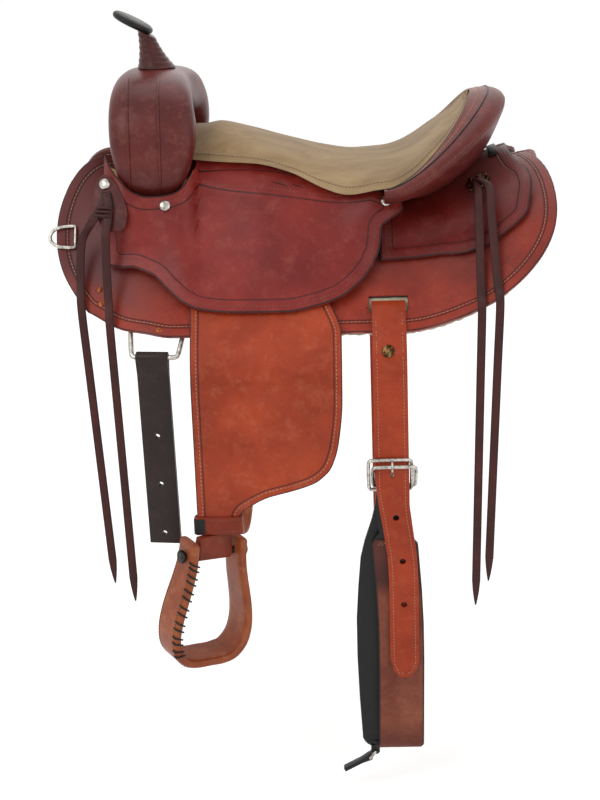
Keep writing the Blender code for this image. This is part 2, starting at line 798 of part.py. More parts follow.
def rear_jockey_out(x, y):
    """How far the rear jockey's face stands from the horse's back at a place seen from above."""
    low, high = 0.0, 0.3
    for _ in range(30):
        s = (low + high) / 2
        if abs(back_point(x, s, 0.033).y) < abs(y):
            low = s
        else:
            high = s
    return rear_jockey_height(x, low) + JOCKEY_LEATHER


def set_in(grid, depth):
    """A grid of points moved square to its own surface, towards the hollow side."""
    moved = []
    rows, cols = len(grid), len(grid[0])
    for i in range(rows):
        row = []
        for j in range(cols):
            a = grid[min(i + 1, rows - 1)][j] - grid[max(i - 1, 0)][j]
            b = grid[i][min(j + 1, cols - 1)] - grid[i][max(j - 1, 0)]
            row.append(grid[i][j] + b.cross(a).normalized() * depth)
        moved.append(row)
    return moved


CANTLE_END = 90


def cantle_grid(end, steps=20):
    return [cantle_profile(end - 2 * end * k / steps) for k in range(steps + 1)]


def make_cantle_cover():
    outer = cantle_grid(CANTLE_END)
    return plate("cantle_cover", outer, set_in(outer, COVER_LEATHER), JOCKEY_OXBLOOD)


def make_tree_cantle():
    """The wooden cantle, inside its leather, standing on the bars."""
    end, steps = 64, 16
    grid = set_in(cantle_grid(end, steps), COVER_LEATHER + BED_PLAY)
    rings = []
    for k, row in enumerate(grid):
        angle = end - 2 * end * k / steps
        front, lip, crown, brow, edge, under, middle, foot = row
        outward = Vector((math.cos(math.radians(angle)), math.sin(math.radians(angle)), 0))
        x, y = cantle_foot(angle, 0.012)
        heel = Vector((x, y, resting_height(x, y, bar_top(x) + BED_PLAY)))
        x, y = cantle_foot(angle, 0.026)
        toe = Vector((x, y, resting_height(x, y, bar_top(x) + BED_PLAY)))
        face = lip + outward * 0.002 - Vector((0, 0, 0.020))
        top = lip + outward * 0.005 - Vector((0, 0, 0.001))
        neck = Vector((heel.x, heel.y, foot.z + 0.003))
        rings.append([top, crown, brow, edge, under, middle, neck, heel, toe, face])
    return loft("tree_cantle", rings, TREE_WOOD)


# Seat jockeys

# The jockey's hem, down from the spine, and its top edge round the foot of the fork
HEM = ((-0.247, 0.187), (-0.225, 0.178), (-0.205, 0.169), (-0.185, 0.171), (-0.165, 0.188),
       (-0.145, 0.207), (-0.120, 0.219), (-0.080, 0.224), (-0.010, 0.225), (0.030, 0.217),
       (0.060, 0.206), (0.085, 0.186), (0.106, 0.158))
NOTCH_OUT = ((-0.247, 0.092), (-0.239, 0.108), (-0.231, 0.118), (-0.222, 0.1260), (-0.215, 0.1295),
             (-0.205, 0.131), (-0.190, 0.132), (-0.165, 0.131), (-0.150, 0.127), (-0.140, 0.119),
             (-0.132, 0.104), (-0.124, 0.084))
NOTCH_UP = ((-0.247, 0.088), (-0.239, 0.075), (-0.231, 0.065), (-0.222, 0.056), (-0.215, 0.048),
            (-0.205, 0.041), (-0.190, 0.036), (-0.165, 0.037), (-0.150, 0.041), (-0.140, 0.050),
            (-0.132, 0.061), (-0.124, 0.068))


def jockey_top_edge(x):
    """Top edge of the seat jockey: under the suede, and cut out round the fork's foot."""
    seat_start = SEAT_FRONT + 0.013
    if x < seat_start:
        return Vector((x, -through(NOTCH_OUT, x), through(NOTCH_UP, x)))
    rear = SEAT_REAR - 0.012
    v = (min(x, rear) - SEAT_FRONT) / (SEAT_REAR - SEAT_FRONT) - 1
    point = under_cushion(v, -0.90, FIT + JOCKEY_LEATHER)
    tab = smooth_step((x - rear) / (JOCKEY_TAB - rear))
    return Vector((x, point.y + 0.006 * tab, point.z - 0.013 * tab))


def jockey_point(x, t, h, side=NEAR):
    """t from the top edge to the hem, h out from the jockey's inner face."""
    start = jockey_top_edge(x)
    end = back_point(x, through(HEM, x), HEM_IN)
    length = (end - start).length
    steep = 58.0 - 14.0 * smooth_step((x + 0.165) / 0.150)
    first = Vector((0, -math.cos(math.radians(steep)), -math.sin(math.radians(steep))))
    last = Vector((0, -math.cos(math.radians(58)), -math.sin(math.radians(58))))
    p1 = start + first * length / 3
    p2 = end - last * length / 3
    point = (start * (1 - t) ** 3 + p1 * 3 * t * (1 - t) ** 2 + p2 * 3 * t * t * (1 - t) + end * t ** 3)
    along = ((p1 - start) * (1 - t) ** 2 + (p2 - p1) * 2 * t * (1 - t) + (end - p2) * t * t)
    along.x = 0
    along.normalize()
    normal = Vector((0, along.z, -along.y))
    if normal.z < 0:
        normal = -normal
    point = point + normal * h
    return Vector((x, -side * point.y, point.z))


def jockey_rear(t):
    return through(((0.0, JOCKEY_TAB), (0.16, JOCKEY_TAB), (0.34, 0.128), (0.50, 0.115),
                    (0.70, 0.113), (0.85, 0.110), (1.0, 0.103)), t)


def make_seat_jockey(word, side, rows=8, cols=24):
    outer, inner = [], []
    for i in range(rows):
        t = i / (rows - 1)
        xs = [JOCKEY_FRONT + (jockey_rear(t) - JOCKEY_FRONT) * j / (cols - 1) for j in range(cols)]
        outer.append([jockey_point(x, t, JOCKEY_LEATHER, side) for x in xs])
        inner.append([jockey_point(x, t, 0, side) for x in xs])
    return plate("seat_jockey_" + word, outer, inner, JOCKEY_OXBLOOD)


# Rear jockeys

REAR_HEM = ((0.112, 0.152), (0.150, 0.151), (0.185, 0.154), (0.225, 0.165), (0.245, 0.167),
            (0.272, 0.160), (0.296, 0.148), (0.311, 0.131))
REAR_END = ((0.0, 0.286), (0.35, 0.294), (0.62, 0.309), (0.80, 0.312), (1.0, 0.305))


def rear_jockey_height(x, s):
    """Underside of the rear jockey: over the bars' rear pads, then down on to the skirt."""
    on_skirt = SKIRT_OUT + 0.0030
    on_bar = BAR_IN + bar_thickness(x) + BED_PLAY + 0.0006
    fade = 1 - smooth_step((s - BAR_BOTTOM + 0.020) / 0.045)
    return on_skirt + (on_bar - on_skirt) * fade


def make_rear_jockey(word, side, rows=9, cols=12):
    outer, inner = [], []
    for i in range(rows):
        t = i / (rows - 1)
        rear = through(REAR_END, t)
        outer_row, inner_row = [], []
        for j in range(cols):
            x = 0.112 + (rear - 0.112) * j / (cols - 1)
            s = 0.001 + (through(REAR_HEM, x) - 0.001) * t
            h = rear_jockey_height(x, s)
            outer_row.append(back_point(x, s, h + JOCKEY_LEATHER, side))
            inner_row.append(back_point(x, s, h, side))
        outer.append(outer_row)
        inner.append(inner_row)
    jockey = plate("rear_jockey_" + word, outer, inner, JOCKEY_OXBLOOD)
    well = []
    for z in (-0.10, 0.20):
        ring = [cantle_foot(a, 0.006) for a in range(90, -91, -10)]
        ring += [(0.05, ring[-1][1]), (0.05, ring[0][1])]
        well.append([Vector((x, y, z)) for x, y in ring])
    cut_away(jockey, loft("cantle_well_" + word, well, TREE_WOOD))
    return jockey


def make_rear_jockey_tie():
    """The short strap over the seam where the two rear jockeys meet."""
    outer, inner = [], []
    for i in range(7):
        across = 0.030 * (2 * i / 6 - 1)
        side = NEAR if across < 0 else OFF
        row_out, row_in = [], []
        for x in (0.262, 0.268, 0.274):
            h = rear_jockey_height(x, abs(across)) + JOCKEY_LEATHER + BED_PLAY
            row_out.append(back_point(x, abs(across), h + 0.003, side))
            row_in.append(back_point(x, abs(across), h, side))
        outer.append(row_out)
        inner.append(row_in)
    return plate("rear_jockey_tie", outer, inner, BLACK_LEATHER)


# Fender, stirrup leather, hobble strap

def fender_path(q, h):
    """Side view of the hanging leathers: q down from the hinge, h out from the leathers' bed."""
    side = math.radians(BACK_SIDE_ANGLE)
    start = back_point(0, BACK_ARC, 0)
    reach = FENDER_TOP - BACK_ARC
    if q < FENDER_STRAIGHT:
        along, angle = reach + q, side
        out, down = along * math.cos(side), along * math.sin(side)
    else:
        along = reach + FENDER_STRAIGHT
        out, down = along * math.cos(side), along * math.sin(side)
        full = (math.pi / 2 - side) * FENDER_BEND
        turned = min(q - FENDER_STRAIGHT, full)
        angle = side + turned / FENDER_BEND
        out += FENDER_BEND * (math.sin(angle) - math.sin(side))
        down += FENDER_BEND * (math.cos(side) - math.cos(angle)) + q - FENDER_STRAIGHT - turned
    return -start.y + out + h * math.sin(angle), start.z - down + h * math.cos(angle)


def hanging_sheet(name, side, stations, h_in, h_out, finish, cols=7):
    """A leather on the fender's path, from (q, front, rear) stations."""
    outer, inner = [], []
    for q, front, rear in stations:
        out_y, out_z = fender_path(q, h_out)
        in_y, in_z = fender_path(q, h_in)
        xs = [front + (rear - front) * j / (cols - 1) for j in range(cols)]
        outer.append([Vector((x, side * out_y, out_z)) for x in xs])
        inner.append([Vector((x, side * in_y, in_z)) for x in xs])
    return plate(name, outer, inner, finish)


FENDER_REAR = ((0.0, 0.004), (0.030, 0.020), (0.085, 0.046), (0.130, FENDER_WIDEST),
               (0.200, 0.059), (0.255, 0.053), (0.288, 0.043), (0.308, 0.024), (0.320, -0.008),
               (0.328, -0.040), (0.338, -0.061), (0.346, -0.074), (FENDER_LENGTH, -0.079))


def fender_front(q):
    return FENDER_FRONT + 0.050 * (1 - smooth_step(q / 0.085))


def neck_centre():
    return FENDER_FRONT + NECK_WIDTH / 2


def make_fender(word, side):
    stops = [0.006, 0.02, 0.05, 0.085, 0.115, 0.135, 0.150, 0.165, 0.180, 0.195, 0.225, 0.255,
             0.275, 0.290, 0.300, 0.308, 0.314, 0.320, 0.326, 0.332, 0.338, 0.345, FENDER_LENGTH]
    stations = [(q, fender_front(q), through(FENDER_REAR, q)) for q in stops]
    tail = FENDER_LENGTH + HOBBLE_HEIGHT
    stations.append((tail, FENDER_FRONT, FENDER_FRONT + NECK_WIDTH))
    fender = hanging_sheet("fender_" + word, side, stations, FENDER_IN, FENDER_OUT, FENDER_RUSSET, 6)
    set_origin(fender, fender_hinge(side))
    return fender


def fender_hinge(side):
    y, z = fender_path(0.010, (STRAP_IN + FENDER_OUT) / 2)
    return Vector((FENDER_HINGE, side * y, z))


def make_stirrup_leather(word, side):
    """The load-bearing strap behind the fender, from the tree bar to the hobble strap."""
    stops = (0.004, 0.02, 0.05, 0.10, 0.135, 0.150, 0.165, 0.180, 0.195, 0.260, 0.320,
             FENDER_LENGTH + HOBBLE_HEIGHT)
    stations = []
    for q in stops:
        slide = smooth_step(q / 0.25)
        centre = FENDER_HINGE + (neck_centre() - FENDER_HINGE) * slide
        half = 0.037 - (0.037 - NECK_WIDTH / 2 + 0.001) * slide
        stations.append((q, centre - half, centre + half))
    strap = hanging_sheet("stirrup_leather_" + word, side, stations, STRAP_IN, STRAP_OUT,
                          FENDER_RUSSET, 5)
    set_origin(strap, fender_hinge(side))
    return strap


def neck_band(side):
    """Middle of the neck's thickness and the height of the hobble strap's two edges."""
    y, top = fender_path(FENDER_LENGTH + 0.001, (STRAP_IN + FENDER_OUT) / 2)
    return side * y, top, top - HOBBLE_HEIGHT + 0.002


def make_hobble(word, side):
    """A strap buckled round the fender's neck, a closed band."""
    y, top, bottom = neck_band(side)
    half_y = (FENDER_OUT - STRAP_IN) / 2 + FIT
    half_x = NECK_WIDTH / 2 + FIT

    def outline(z, grow):
        points = []
        for cx, cy, start in ((1, 1, 0), (-1, 1, 90), (-1, -1, 180), (1, -1, 270)):
            for k in range(4):
                a = math.radians(start + 30 * k)
                r = 0.0004 + grow
                points.append(Vector((neck_centre() + cx * (half_x - 0.0004) + r * math.cos(a),
                                      y + cy * (half_y - 0.0004) + r * math.sin(a), z)))
        return points

    rings = []
    sections = ((HOBBLE_LEATHER, top), (HOBBLE_LEATHER, bottom), (0, bottom), (0, top))
    loops = [outline(z, grow) for grow, z in sections]
    for i in range(len(loops[0])):
        rings.append([loop[i] for loop in loops])
    band = closed_loop("hobble_strap_" + word, rings, FENDER_RUSSET)
    set_origin(band, fender_hinge(side))
    return band


# Stirrup, its bolt and the leather loop that hangs it

def hanger_point(side):
    """Where the stirrup leather turns: the middle of the neck, just below the hobble strap."""
    y, top, bottom = neck_band(side)
    low = fender_path(FENDER_LENGTH + HOBBLE_HEIGHT, STRAP_IN)[1]
    return Vector((neck_centre() - HANGER_SET, y, low - FIT))


def bolt_point(side):
    return hanger_point(side) - Vector((0, 0, BOLT_DROP - HOBBLE_HEIGHT))


def hang(things, side, turn):
    """Turn the hanging pieces to where the stiff stirrup leather holds them."""
    for thing in things:
        turn_about(thing, hanger_point(side), "Z", turn)
        turn_about(thing, hanger_point(side), "Y", STIRRUP_LEAN)


def make_loop(word, side, turn):
    """The end of the stirrup leather, wrapped round the bolt."""
    top = hanger_point(side)
    centre = bolt_point(side)
    radius = BOLT_RADIUS + FIT + 0.004
    neck = 0.0058
    outline = [Vector((0, neck, top.z)), Vector((0, -neck, top.z))]
    for k in range(13):
        a = math.radians(190 + 160 * k / 12)
        outline.append(Vector((0, radius * math.cos(a), centre.z + radius * math.sin(a))))
    width = Vector((LOOP_WIDTH, 0, 0))
    place = Vector((top.x - LOOP_WIDTH / 2, top.y, 0))
    loop = extruded("stirrup_loop_" + word, [p + place for p in outline], width, FENDER_RUSSET)
    reach = Vector((LOOP_WIDTH, 0, 0))
    bore = cylinder_between("loop_bore_" + word, centre - reach, centre + reach,
                            BOLT_RADIUS + FIT, STEEL, 16)
    level = [v.index for v in loop.data.vertices if v.co.z > top.z - FIT]
    hang([loop, bore], side, turn)
    for index in level:
        loop.data.vertices[index].co.z = top.z
    cut_away(loop, bore)
    return loop


def make_bolt(word, side, turn):
    centre = bolt_point(side)
    half = STIRRUP_TOP_HALF + STIRRUP_WALL / 2 + 0.003
    head = 0.009
    rings = []
    for x, r in ((-half - 0.004, head), (-half, head), (-half, BOLT_RADIUS), (half, BOLT_RADIUS),
                 (half, head), (half + 0.004, head)):
        rings.append([centre + Vector((x, r * math.cos(a), r * math.sin(a)))
                      for a in (2 * math.pi * k / 16 for k in range(16))])
    bolt = loft("stirrup_bolt_" + word, rings, STEEL)
    hang([bolt], side, turn)
    return bolt


def stirrup_frame(side):
    """Half of the bell's middle line, from the top of a branch to the middle of the tread."""
    top = bolt_point(side).z + 0.020
    low = top - STIRRUP_HEIGHT
    shape = ((STIRRUP_TOP_HALF, 1.0), (STIRRUP_TOP_HALF, 0.90), (0.0375, 0.80), (0.0415, 0.68),
             (0.0475, 0.54), (STIRRUP_HALF_WIDTH, 0.40), (0.0540, 0.27), (0.0495, 0.15),
             (0.0370, 0.065), (0.0200, 0.035), (0.0, 0.034))
    return [(x, low + STIRRUP_HEIGHT * z) for x, z in shape]


def make_stirrup(word, side, turn):
    """A bent-wood stirrup with a leather cover: one bell-shaped band."""
    half = stirrup_frame(side)
    path = [Vector((-x, 0, z)) for x, z in half] + [Vector((x, 0, z)) for x, z in half[-2::-1]]
    depth = [[0.040 + (STIRRUP_DEPTH - 0.040) * smooth_step(i / 5)] for i in range(len(half))]
    path, depth = refine(path, depth + depth[-2::-1], 2)
    centre = bolt_point(side)
    rings = []
    for i, p in enumerate(path):
        along = (path[min(i + 1, len(path) - 1)] - path[max(i - 1, 0)]).normalized()
        normal = Vector((along.z, 0, -along.x))
        ring = []
        for k in range(8):
            a = 2 * math.pi * k / 8 + math.pi / 8
            c, s = math.cos(a), math.sin(a)
            corner = (abs(c) ** 4 + abs(s) ** 4) ** (-1 / 4)
            ring.append(Vector((centre.x, centre.y, 0)) + p + normal * STIRRUP_WALL / 2 * c * corner
                        + Vector((0, depth[i][0] / 2 * s * corner, 0)))
        rings.append(ring)
    stirrup = loft("stirrup_" + word, rings, STIRRUP_TAN)
    bores = []
    for cx in (-1, 1):
        start = centre + Vector((cx * (STIRRUP_TOP_HALF - 0.012), 0, 0))
        end = centre + Vector((cx * (STIRRUP_TOP_HALF + 0.012), 0, 0))
        bore = cylinder_between("stirrup_bore_%s_%d" % (word, cx), start, end, BOLT_RADIUS + FIT,
                                STEEL, 16)
        bores.append(bore)
    hang([stirrup] + bores, side, turn)
    for bore in bores:
        cut_away(stirrup, bore)
    return stirrup


# Rigging rings, latigo and off billet

def beside_horse(x, z, h, side):
    """The place at this height beside the horse, h out from its back."""
    low, high = 0.05, 0.50
    for _ in range(40):
        s = (low + high) / 2
        if back_point(x, s, h, side).z > z:
            low = s
        else:
            high = s
    return back_point(x, low, h, side)


def ring_frame(side):
    """Middle of the ring's lower bar, a level direction beside the skirt, and down the skirt."""
    ahead, behind = (beside_horse(RING_CENTRE + c * RING_HALF_TOP, RING_TOP_HEIGHT, RING_LIE, side)
                     for c in (-1, 1))
    low_ahead, low_behind = (beside_horse(RING_CENTRE + c * RING_HALF_BOTTOM, RING_BAR_HEIGHT,
                                          RING_LIE, side) for c in (-1, 1))
    level = (behind - ahead).normalized()
    middle = (low_ahead + low_behind) / 2
    slope = middle - (ahead + behind) / 2
    down = (slope - level * slope.dot(level)).normalized()
    return middle, level, down


def ring_points(side):
    """The rigging ring's middle line: a rounded trapezoid in the plane of the skirt."""
    corners = ((-RING_HALF_TOP, -RING_REACH, 0.008), (RING_HALF_TOP, -RING_REACH, 0.008),
               (RING_HALF_BOTTOM, 0.0, 0.007), (-RING_HALF_BOTTOM, 0.0, 0.007))
    middle, level, down = ring_frame(side)
    points = []
    for i, (x, s, r) in enumerate(corners):
        before, after = corners[i - 1], corners[(i + 1) % 4]
        here = Vector((x, s))
        a = here + (Vector(before[:2]) - here).normalized() * r
        b = here + (Vector(after[:2]) - here).normalized() * r
        for k in range(4):
            t = k / 3
            p = a * (1 - t) ** 2 + here * 2 * t * (1 - t) + b * t * t
            points.append(middle + level * p.x + down * p.y)
    return points


def ring_bar(side):
    """Middle of the ring's lower bar, and its turn about the vertical in degrees."""
    middle, level, down = ring_frame(side)
    return middle, math.degrees(math.atan2(level.y, level.x))


def make_rigging_ring(word, side):
    return wire_loop("rigging_ring_" + word, ring_points(side), RING_WIRE, STEEL, 8)


def strap_on_bar(name, bar, bar_radius, leather, width, length, finish, tail_half=None, lean=0.0,
                 shift=0.0):
    """A strap folded over a level bar and hanging from it, its two layers together below."""
    centre, yaw = bar
    radius = bar_radius + FIT + leather
    half = tail_half or leather + FIT
    outline = []
    for k in range(11):
        a = math.radians(-15 + 210 * k / 10)
        outline.append(Vector((0, radius * math.cos(a), radius * math.sin(a))))
    outline += [Vector((0, -half, -3 * radius)), Vector((0, -half, -length)),
                Vector((0, half, -length)), Vector((0, half, -3 * radius))]
    place = centre - Vector((width / 2 - shift, 0, 0))
    strap = extruded(name, [p + place for p in outline], Vector((width, 0, 0)), finish)
    reach = Vector((width, 0, 0))
    bore = cylinder_between(name + "_bore", centre - reach, centre + reach, bar_radius + FIT,
                            STEEL, 16)
    turn_about(strap, centre, "X", lean)
    turn_about(strap, centre, "Z", yaw)
    turn_about(bore, centre, "Z", yaw)
    cut_away(strap, bore)
    set_origin(strap, centre)
    return strap


def make_latigo():
    """The latigo lies in towards the horse, clear of the stirrup that swings past it."""
    return strap_on_bar("latigo_near", ring_bar(NEAR), RING_WIRE, LATIGO_LEATHER, LATIGO_WIDTH,
                        LATIGO_LENGTH, LATIGO_BROWN, lean=LATIGO_LEAN, shift=LATIGO_SHIFT)


def make_off_billet():
    """The off side's cinch billet, folded up short and thick."""
    return strap_on_bar("off_billet", ring_bar(OFF), RING_WIRE, LATIGO_LEATHER, LATIGO_WIDTH,
                        OFF_BILLET_FOLD, LATIGO_BROWN, OFF_BILLET_HALF, -LATIGO_LEAN, LATIGO_SHIFT)


# Breast dees

def dee_hinge(side):
    s = (0.150 + 0.181) / 2
    h = SKIRT_OUT + 3 * FIT + DEE_WIRE
    return back_point(DEE_HINGE, s, h, side), back_point(DEE_HINGE, s + 0.01, h, side)


def make_breast_dee(word, side):
    centre, lower = dee_hinge(side)
    down = (lower - centre).normalized()
    forward = Vector((-1, 0, 0))
    points = []
    for k in range(4):
        points.append(centre + down * DEE_HALF * (0.85 - 1.7 * k / 3))
    for k in range(13):
        a = math.radians(-90 + 180 * k / 12)
        reach = forward * DEE_REACH * max(math.cos(a), 0) ** 0.6
        points.append(centre - down * DEE_HALF * -math.sin(a) + reach)
    points = [p for i, p in enumerate(points) if (p - points[i - 1]).length > 0.0015]
    dee = wire_loop("breast_dee_" + word, points, DEE_WIRE, STEEL, 8)
    set_origin(dee, centre)
    return dee


# Rosettes, screws and strings

def rosette_disc(name, frame, outline, thickness, finish):
    """A flat leather rosette standing on a place of the saddle."""
    centre, along, down, out = frame
    bottom = [centre + along * x + down * s for x, s in outline]
    return extruded(name, bottom, out * thickness, finish)


def jockey_frame(x, t, h, side):
    """Place, forward, down and outward directions on the seat jockey's face."""
    here = jockey_point(x, t, h, side)
    below = jockey_point(x, t + 0.05, h, side)
    behind = jockey_point(x + 0.01, t, h, side)
    down = (below - here).normalized()
    along = (behind - here).normalized()
    out = along.cross(down).normalized()
    if out.z < 0:
        out = -out
    return here, out.cross(down).normalized() * (1 if side == OFF else -1), down, out


def front_rosette_frame(side):
    """The rosette lies on the highest part of the jockey under it, turned to face outwards."""
    here, along, down, out = jockey_frame(-0.228, 0.30, JOCKEY_LEATHER, side)
    sideways = Vector((0, side * math.cos(ROSETTE_FACE), math.sin(ROSETTE_FACE)))
    out = (out * 0.35 + sideways * 0.65).normalized()
    along = (Vector((1, 0, 0)) - out * out.x).normalized()
    down = out.cross(along)
    if down.z > 0:
        down = -down
    under = []
    for reach in (0.0, 0.5, 1.0):
        for turn in range(12):
            a = math.pi * turn / 6
            under.append(jockey_point(here.x + 0.019 * reach * math.cos(a),
                                      0.30 + 0.12 * reach * math.sin(a), JOCKEY_LEATHER, side))
    lift = max((p - here).dot(out) for p in under)
    return here + out * (lift + FIT), along, down, out


def make_front_rosette(word, side):
    """The teardrop leather with a scalloped foot that the front strings hang from."""
    frame = front_rosette_frame(side)
    outline = []
    for k in range(28):
        a = 2 * math.pi * k / 28
        wide = 0.0212 + 0.0045 * math.sin(a)
        long = 0.039 + (0.0025 * math.cos(6 * a) if math.sin(a) > 0 else 0.0)
        outline.append((-0.009 + 0.007 * math.sin(a) + wide * math.cos(a), long * math.sin(a)))
    return rosette_disc("front_rosette_" + word, frame, outline, ROSETTE_LEATHER, JOCKEY_OXBLOOD)


def rear_rosette_frame(side):
    x, s = 0.244, 0.078
    h = rear_jockey_height(x, s) + JOCKEY_LEATHER + 2 * FIT
    here = back_point(x, s, h, side)
    down = (back_point(x, s + 0.01, h, side) - here).normalized()
    along = (back_point(x + 0.01, s, h, side) - back_point(x - 0.01, s, h, side)).normalized()
    out = along.cross(down).normalized()
    if out.z < 0:
        out = -out
    return here, along, down, out


def make_rear_rosette(word, side):
    """The knotted bronze rosette of the rear strings, with a scalloped edge."""
    frame = rear_rosette_frame(side)
    outline = []
    for k in range(32):
        a = 2 * math.pi * k / 32
        r = 0.0155 + 0.0014 * math.cos(8 * a)
        outline.append((r * math.cos(a), r * math.sin(a)))
    return rosette_disc("rear_rosette_" + word, frame, outline, 0.005, BRONZE)


def make_screw(name, place, out, finish=STEEL):
    """A domed saddle screw with its ferrule."""
    first = out.orthogonal().normalized()
    second = out.cross(first)
    rings = []
    for r, z in ((SCREW_RADIUS, 0), (SCREW_RADIUS, 0.0012), (SCREW_RADIUS * 0.8, 0.0028),
                 (SCREW_RADIUS * 0.4, 0.0036)):
        rings.append([place + out * z + r * (first * math.cos(a) + second * math.sin(a))
                      for a in (2 * math.pi * k / 14 for k in range(14))])
    return loft(name, rings, finish, sharp=60)


def string_ribbon(path, widths, leather):
    """Sections of a flat thong along a path, wide along X."""
    rings = []
    for i, p in enumerate(path):
        along = (path[min(i + 1, len(path) - 1)] - path[max(i - 1, 0)]).normalized()
        across = Vector((1, 0, 0)) - along * along.x
        across.normalize()
        normal = along.cross(across)
        w, h = widths[i] / 2, leather / 2
        rings.append([p + across * w + normal * h, p - across * w + normal * h,
                      p - across * w - normal * h, p + across * w - normal * h])
    return rings


def make_strings(name, side, top, first_route, second_route, hinge=None):
    """One thong drawn through its rosette: both tails hang from the top, one solid."""
    path = first_route[::-1] + [top] + second_route
    path, sizes = refine(path, [[STRING_WIDTH]] * len(path), 2 if side == NEAR else 1)
    widths = [s[0] for s in sizes]
    last = len(widths) - 1
    for k, share in ((0, 0.18), (1, 0.70)):
        widths[k] *= share
        widths[last - k] *= share
    strings = loft(name, string_ribbon(path, widths, STRING_LEATHER), STRING_OXBLOOD)
    set_origin(strings, hinge or top)
    return strings


def plumb(start, drop, drift_x, drift_y):
    """Points of a tail that hangs from start, almost plumb."""
    count = 5
    return [start + Vector((drift_x * k / count, drift_y * k / count, -drop * k / count))
            for k in range(1, count + 1)]


def tail(side, route, drop, drift_x, drift_y):
    """A string's tail: over the leather, then hanging; doubled back up on the off side."""
    points = [back_point(x, s, h, side) for x, s, h in route]
    if side == OFF:
        drop = drop * OFF_STRING_FOLD
    points += plumb(points[-1], drop, drift_x, side * drift_y)
    if side == OFF:
        away = Vector((0, side * STRING_FOLD_GAP, 0))
        back = [p + away for p in points[::-1]]
        bend = points[-1] + away * 0.5 - Vector((0, 0, STRING_FOLD_GAP * 0.6))
        points = points + [bend] + back[:len(back) - 3]
    return points


def make_front_strings(word, side):
    """Both tails come out of the rosette's slot and run down its face before they hang."""
    here, along, down, out = front_rosette_frame(side)
    face = here + out * (ROSETTE_LEATHER + 2 * FIT + STRING_LEATHER / 2 + 0.0018)
    top = face - along * 0.012 - down * 0.014
    face = face + out * 0.0010
    front = [face + along * a + down * d for a, d in ((-0.0165, 0.002), (-0.0235, 0.014),
                                                      (-0.0320, 0.026))]
    front += tail(side, ((-0.277, 0.172, 0.048), (-0.281, 0.200, 0.038), (-0.282, 0.232, 0.030),
                         (-0.281, 0.264, 0.026)), 0.385, 0.020, 0.006)
    rear = [face + along * a + down * d for a, d in ((-0.0085, 0.006), (-0.0100, 0.026),
                                                     (-0.0125, 0.046))]
    rear += tail(side, ((-0.243, 0.212, 0.044), (-0.242, 0.238, 0.034), (-0.241, 0.266, 0.028)),
                 0.385, 0.010, 0.004)
    return make_strings("front_strings_" + word, side, top, front, rear,
                        top - down * STRING_WIDTH * 0.6)


def make_rear_strings(word, side):
    here, along, down, out = rear_rosette_frame(side)
    top = here + out * (0.005 + FIT + STRING_LEATHER / 2 + 0.004) + down * 0.004
    stations = ((0.105, 0.053), (0.135, 0.045), (0.170, 0.036), (0.205, 0.030), (0.235, 0.027),
                (0.258, 0.026))
    front = tail(side, [(0.241 - 0.015 * (s - 0.105), s, h) for s, h in stations], 0.400,
                 -0.010, 0.006)
    rear = tail(side, [(0.2545 + 0.046 * (s - 0.105), s, h) for s, h in stations], 0.375,
                -0.016, 0.006)
    return make_strings("rear_strings_" + word, side, top, front, rear)


# Back billets

def billet_path():
    """Middle line of the billet, out from the middle of the saddle and up: slot, skirt, plumb."""
    path = []
    middle = SKIRT_OUT + FIT + BILLET_LEATHER / 2
    for s, h in ((BILLET_SLOT - 0.002, SKIRT_IN + 0.0024), (BILLET_SLOT + 0.003, SKIRT_IN + 0.0046),
                 (BILLET_SLOT + 0.009, middle + 0.0002), (BILLET_SLOT + 0.017, middle + 0.0008),
                 (SKIRT_DEPTH - 0.008, middle + 0.0008), (SKIRT_DEPTH + 0.006, middle + 0.0004)):
        p = back_point(BILLET_CENTRE, s, h, OFF)
        path.append(Vector((p.y, p.z)))
    angle = math.radians(BACK_SIDE_ANGLE)
    step = 0.011
    while angle < math.radians(89):
        angle = min(angle + math.radians(8), math.pi / 2)
        path.append(path[-1] + Vector((math.cos(angle), -math.sin(angle))) * step)
    return path


def billet_plumb():
    """Where the billet starts to hang plumb: out from the middle, height."""
    return billet_path()[-1]


def billet_drift(drop, side):
    """How far the near billet's tail leans to the rear, past the buckle that it goes through."""
    return BILLET_DRIFT * smooth_step((drop - BUCKLE_DROP + 0.028) / 0.13) if side == NEAR else 0.0


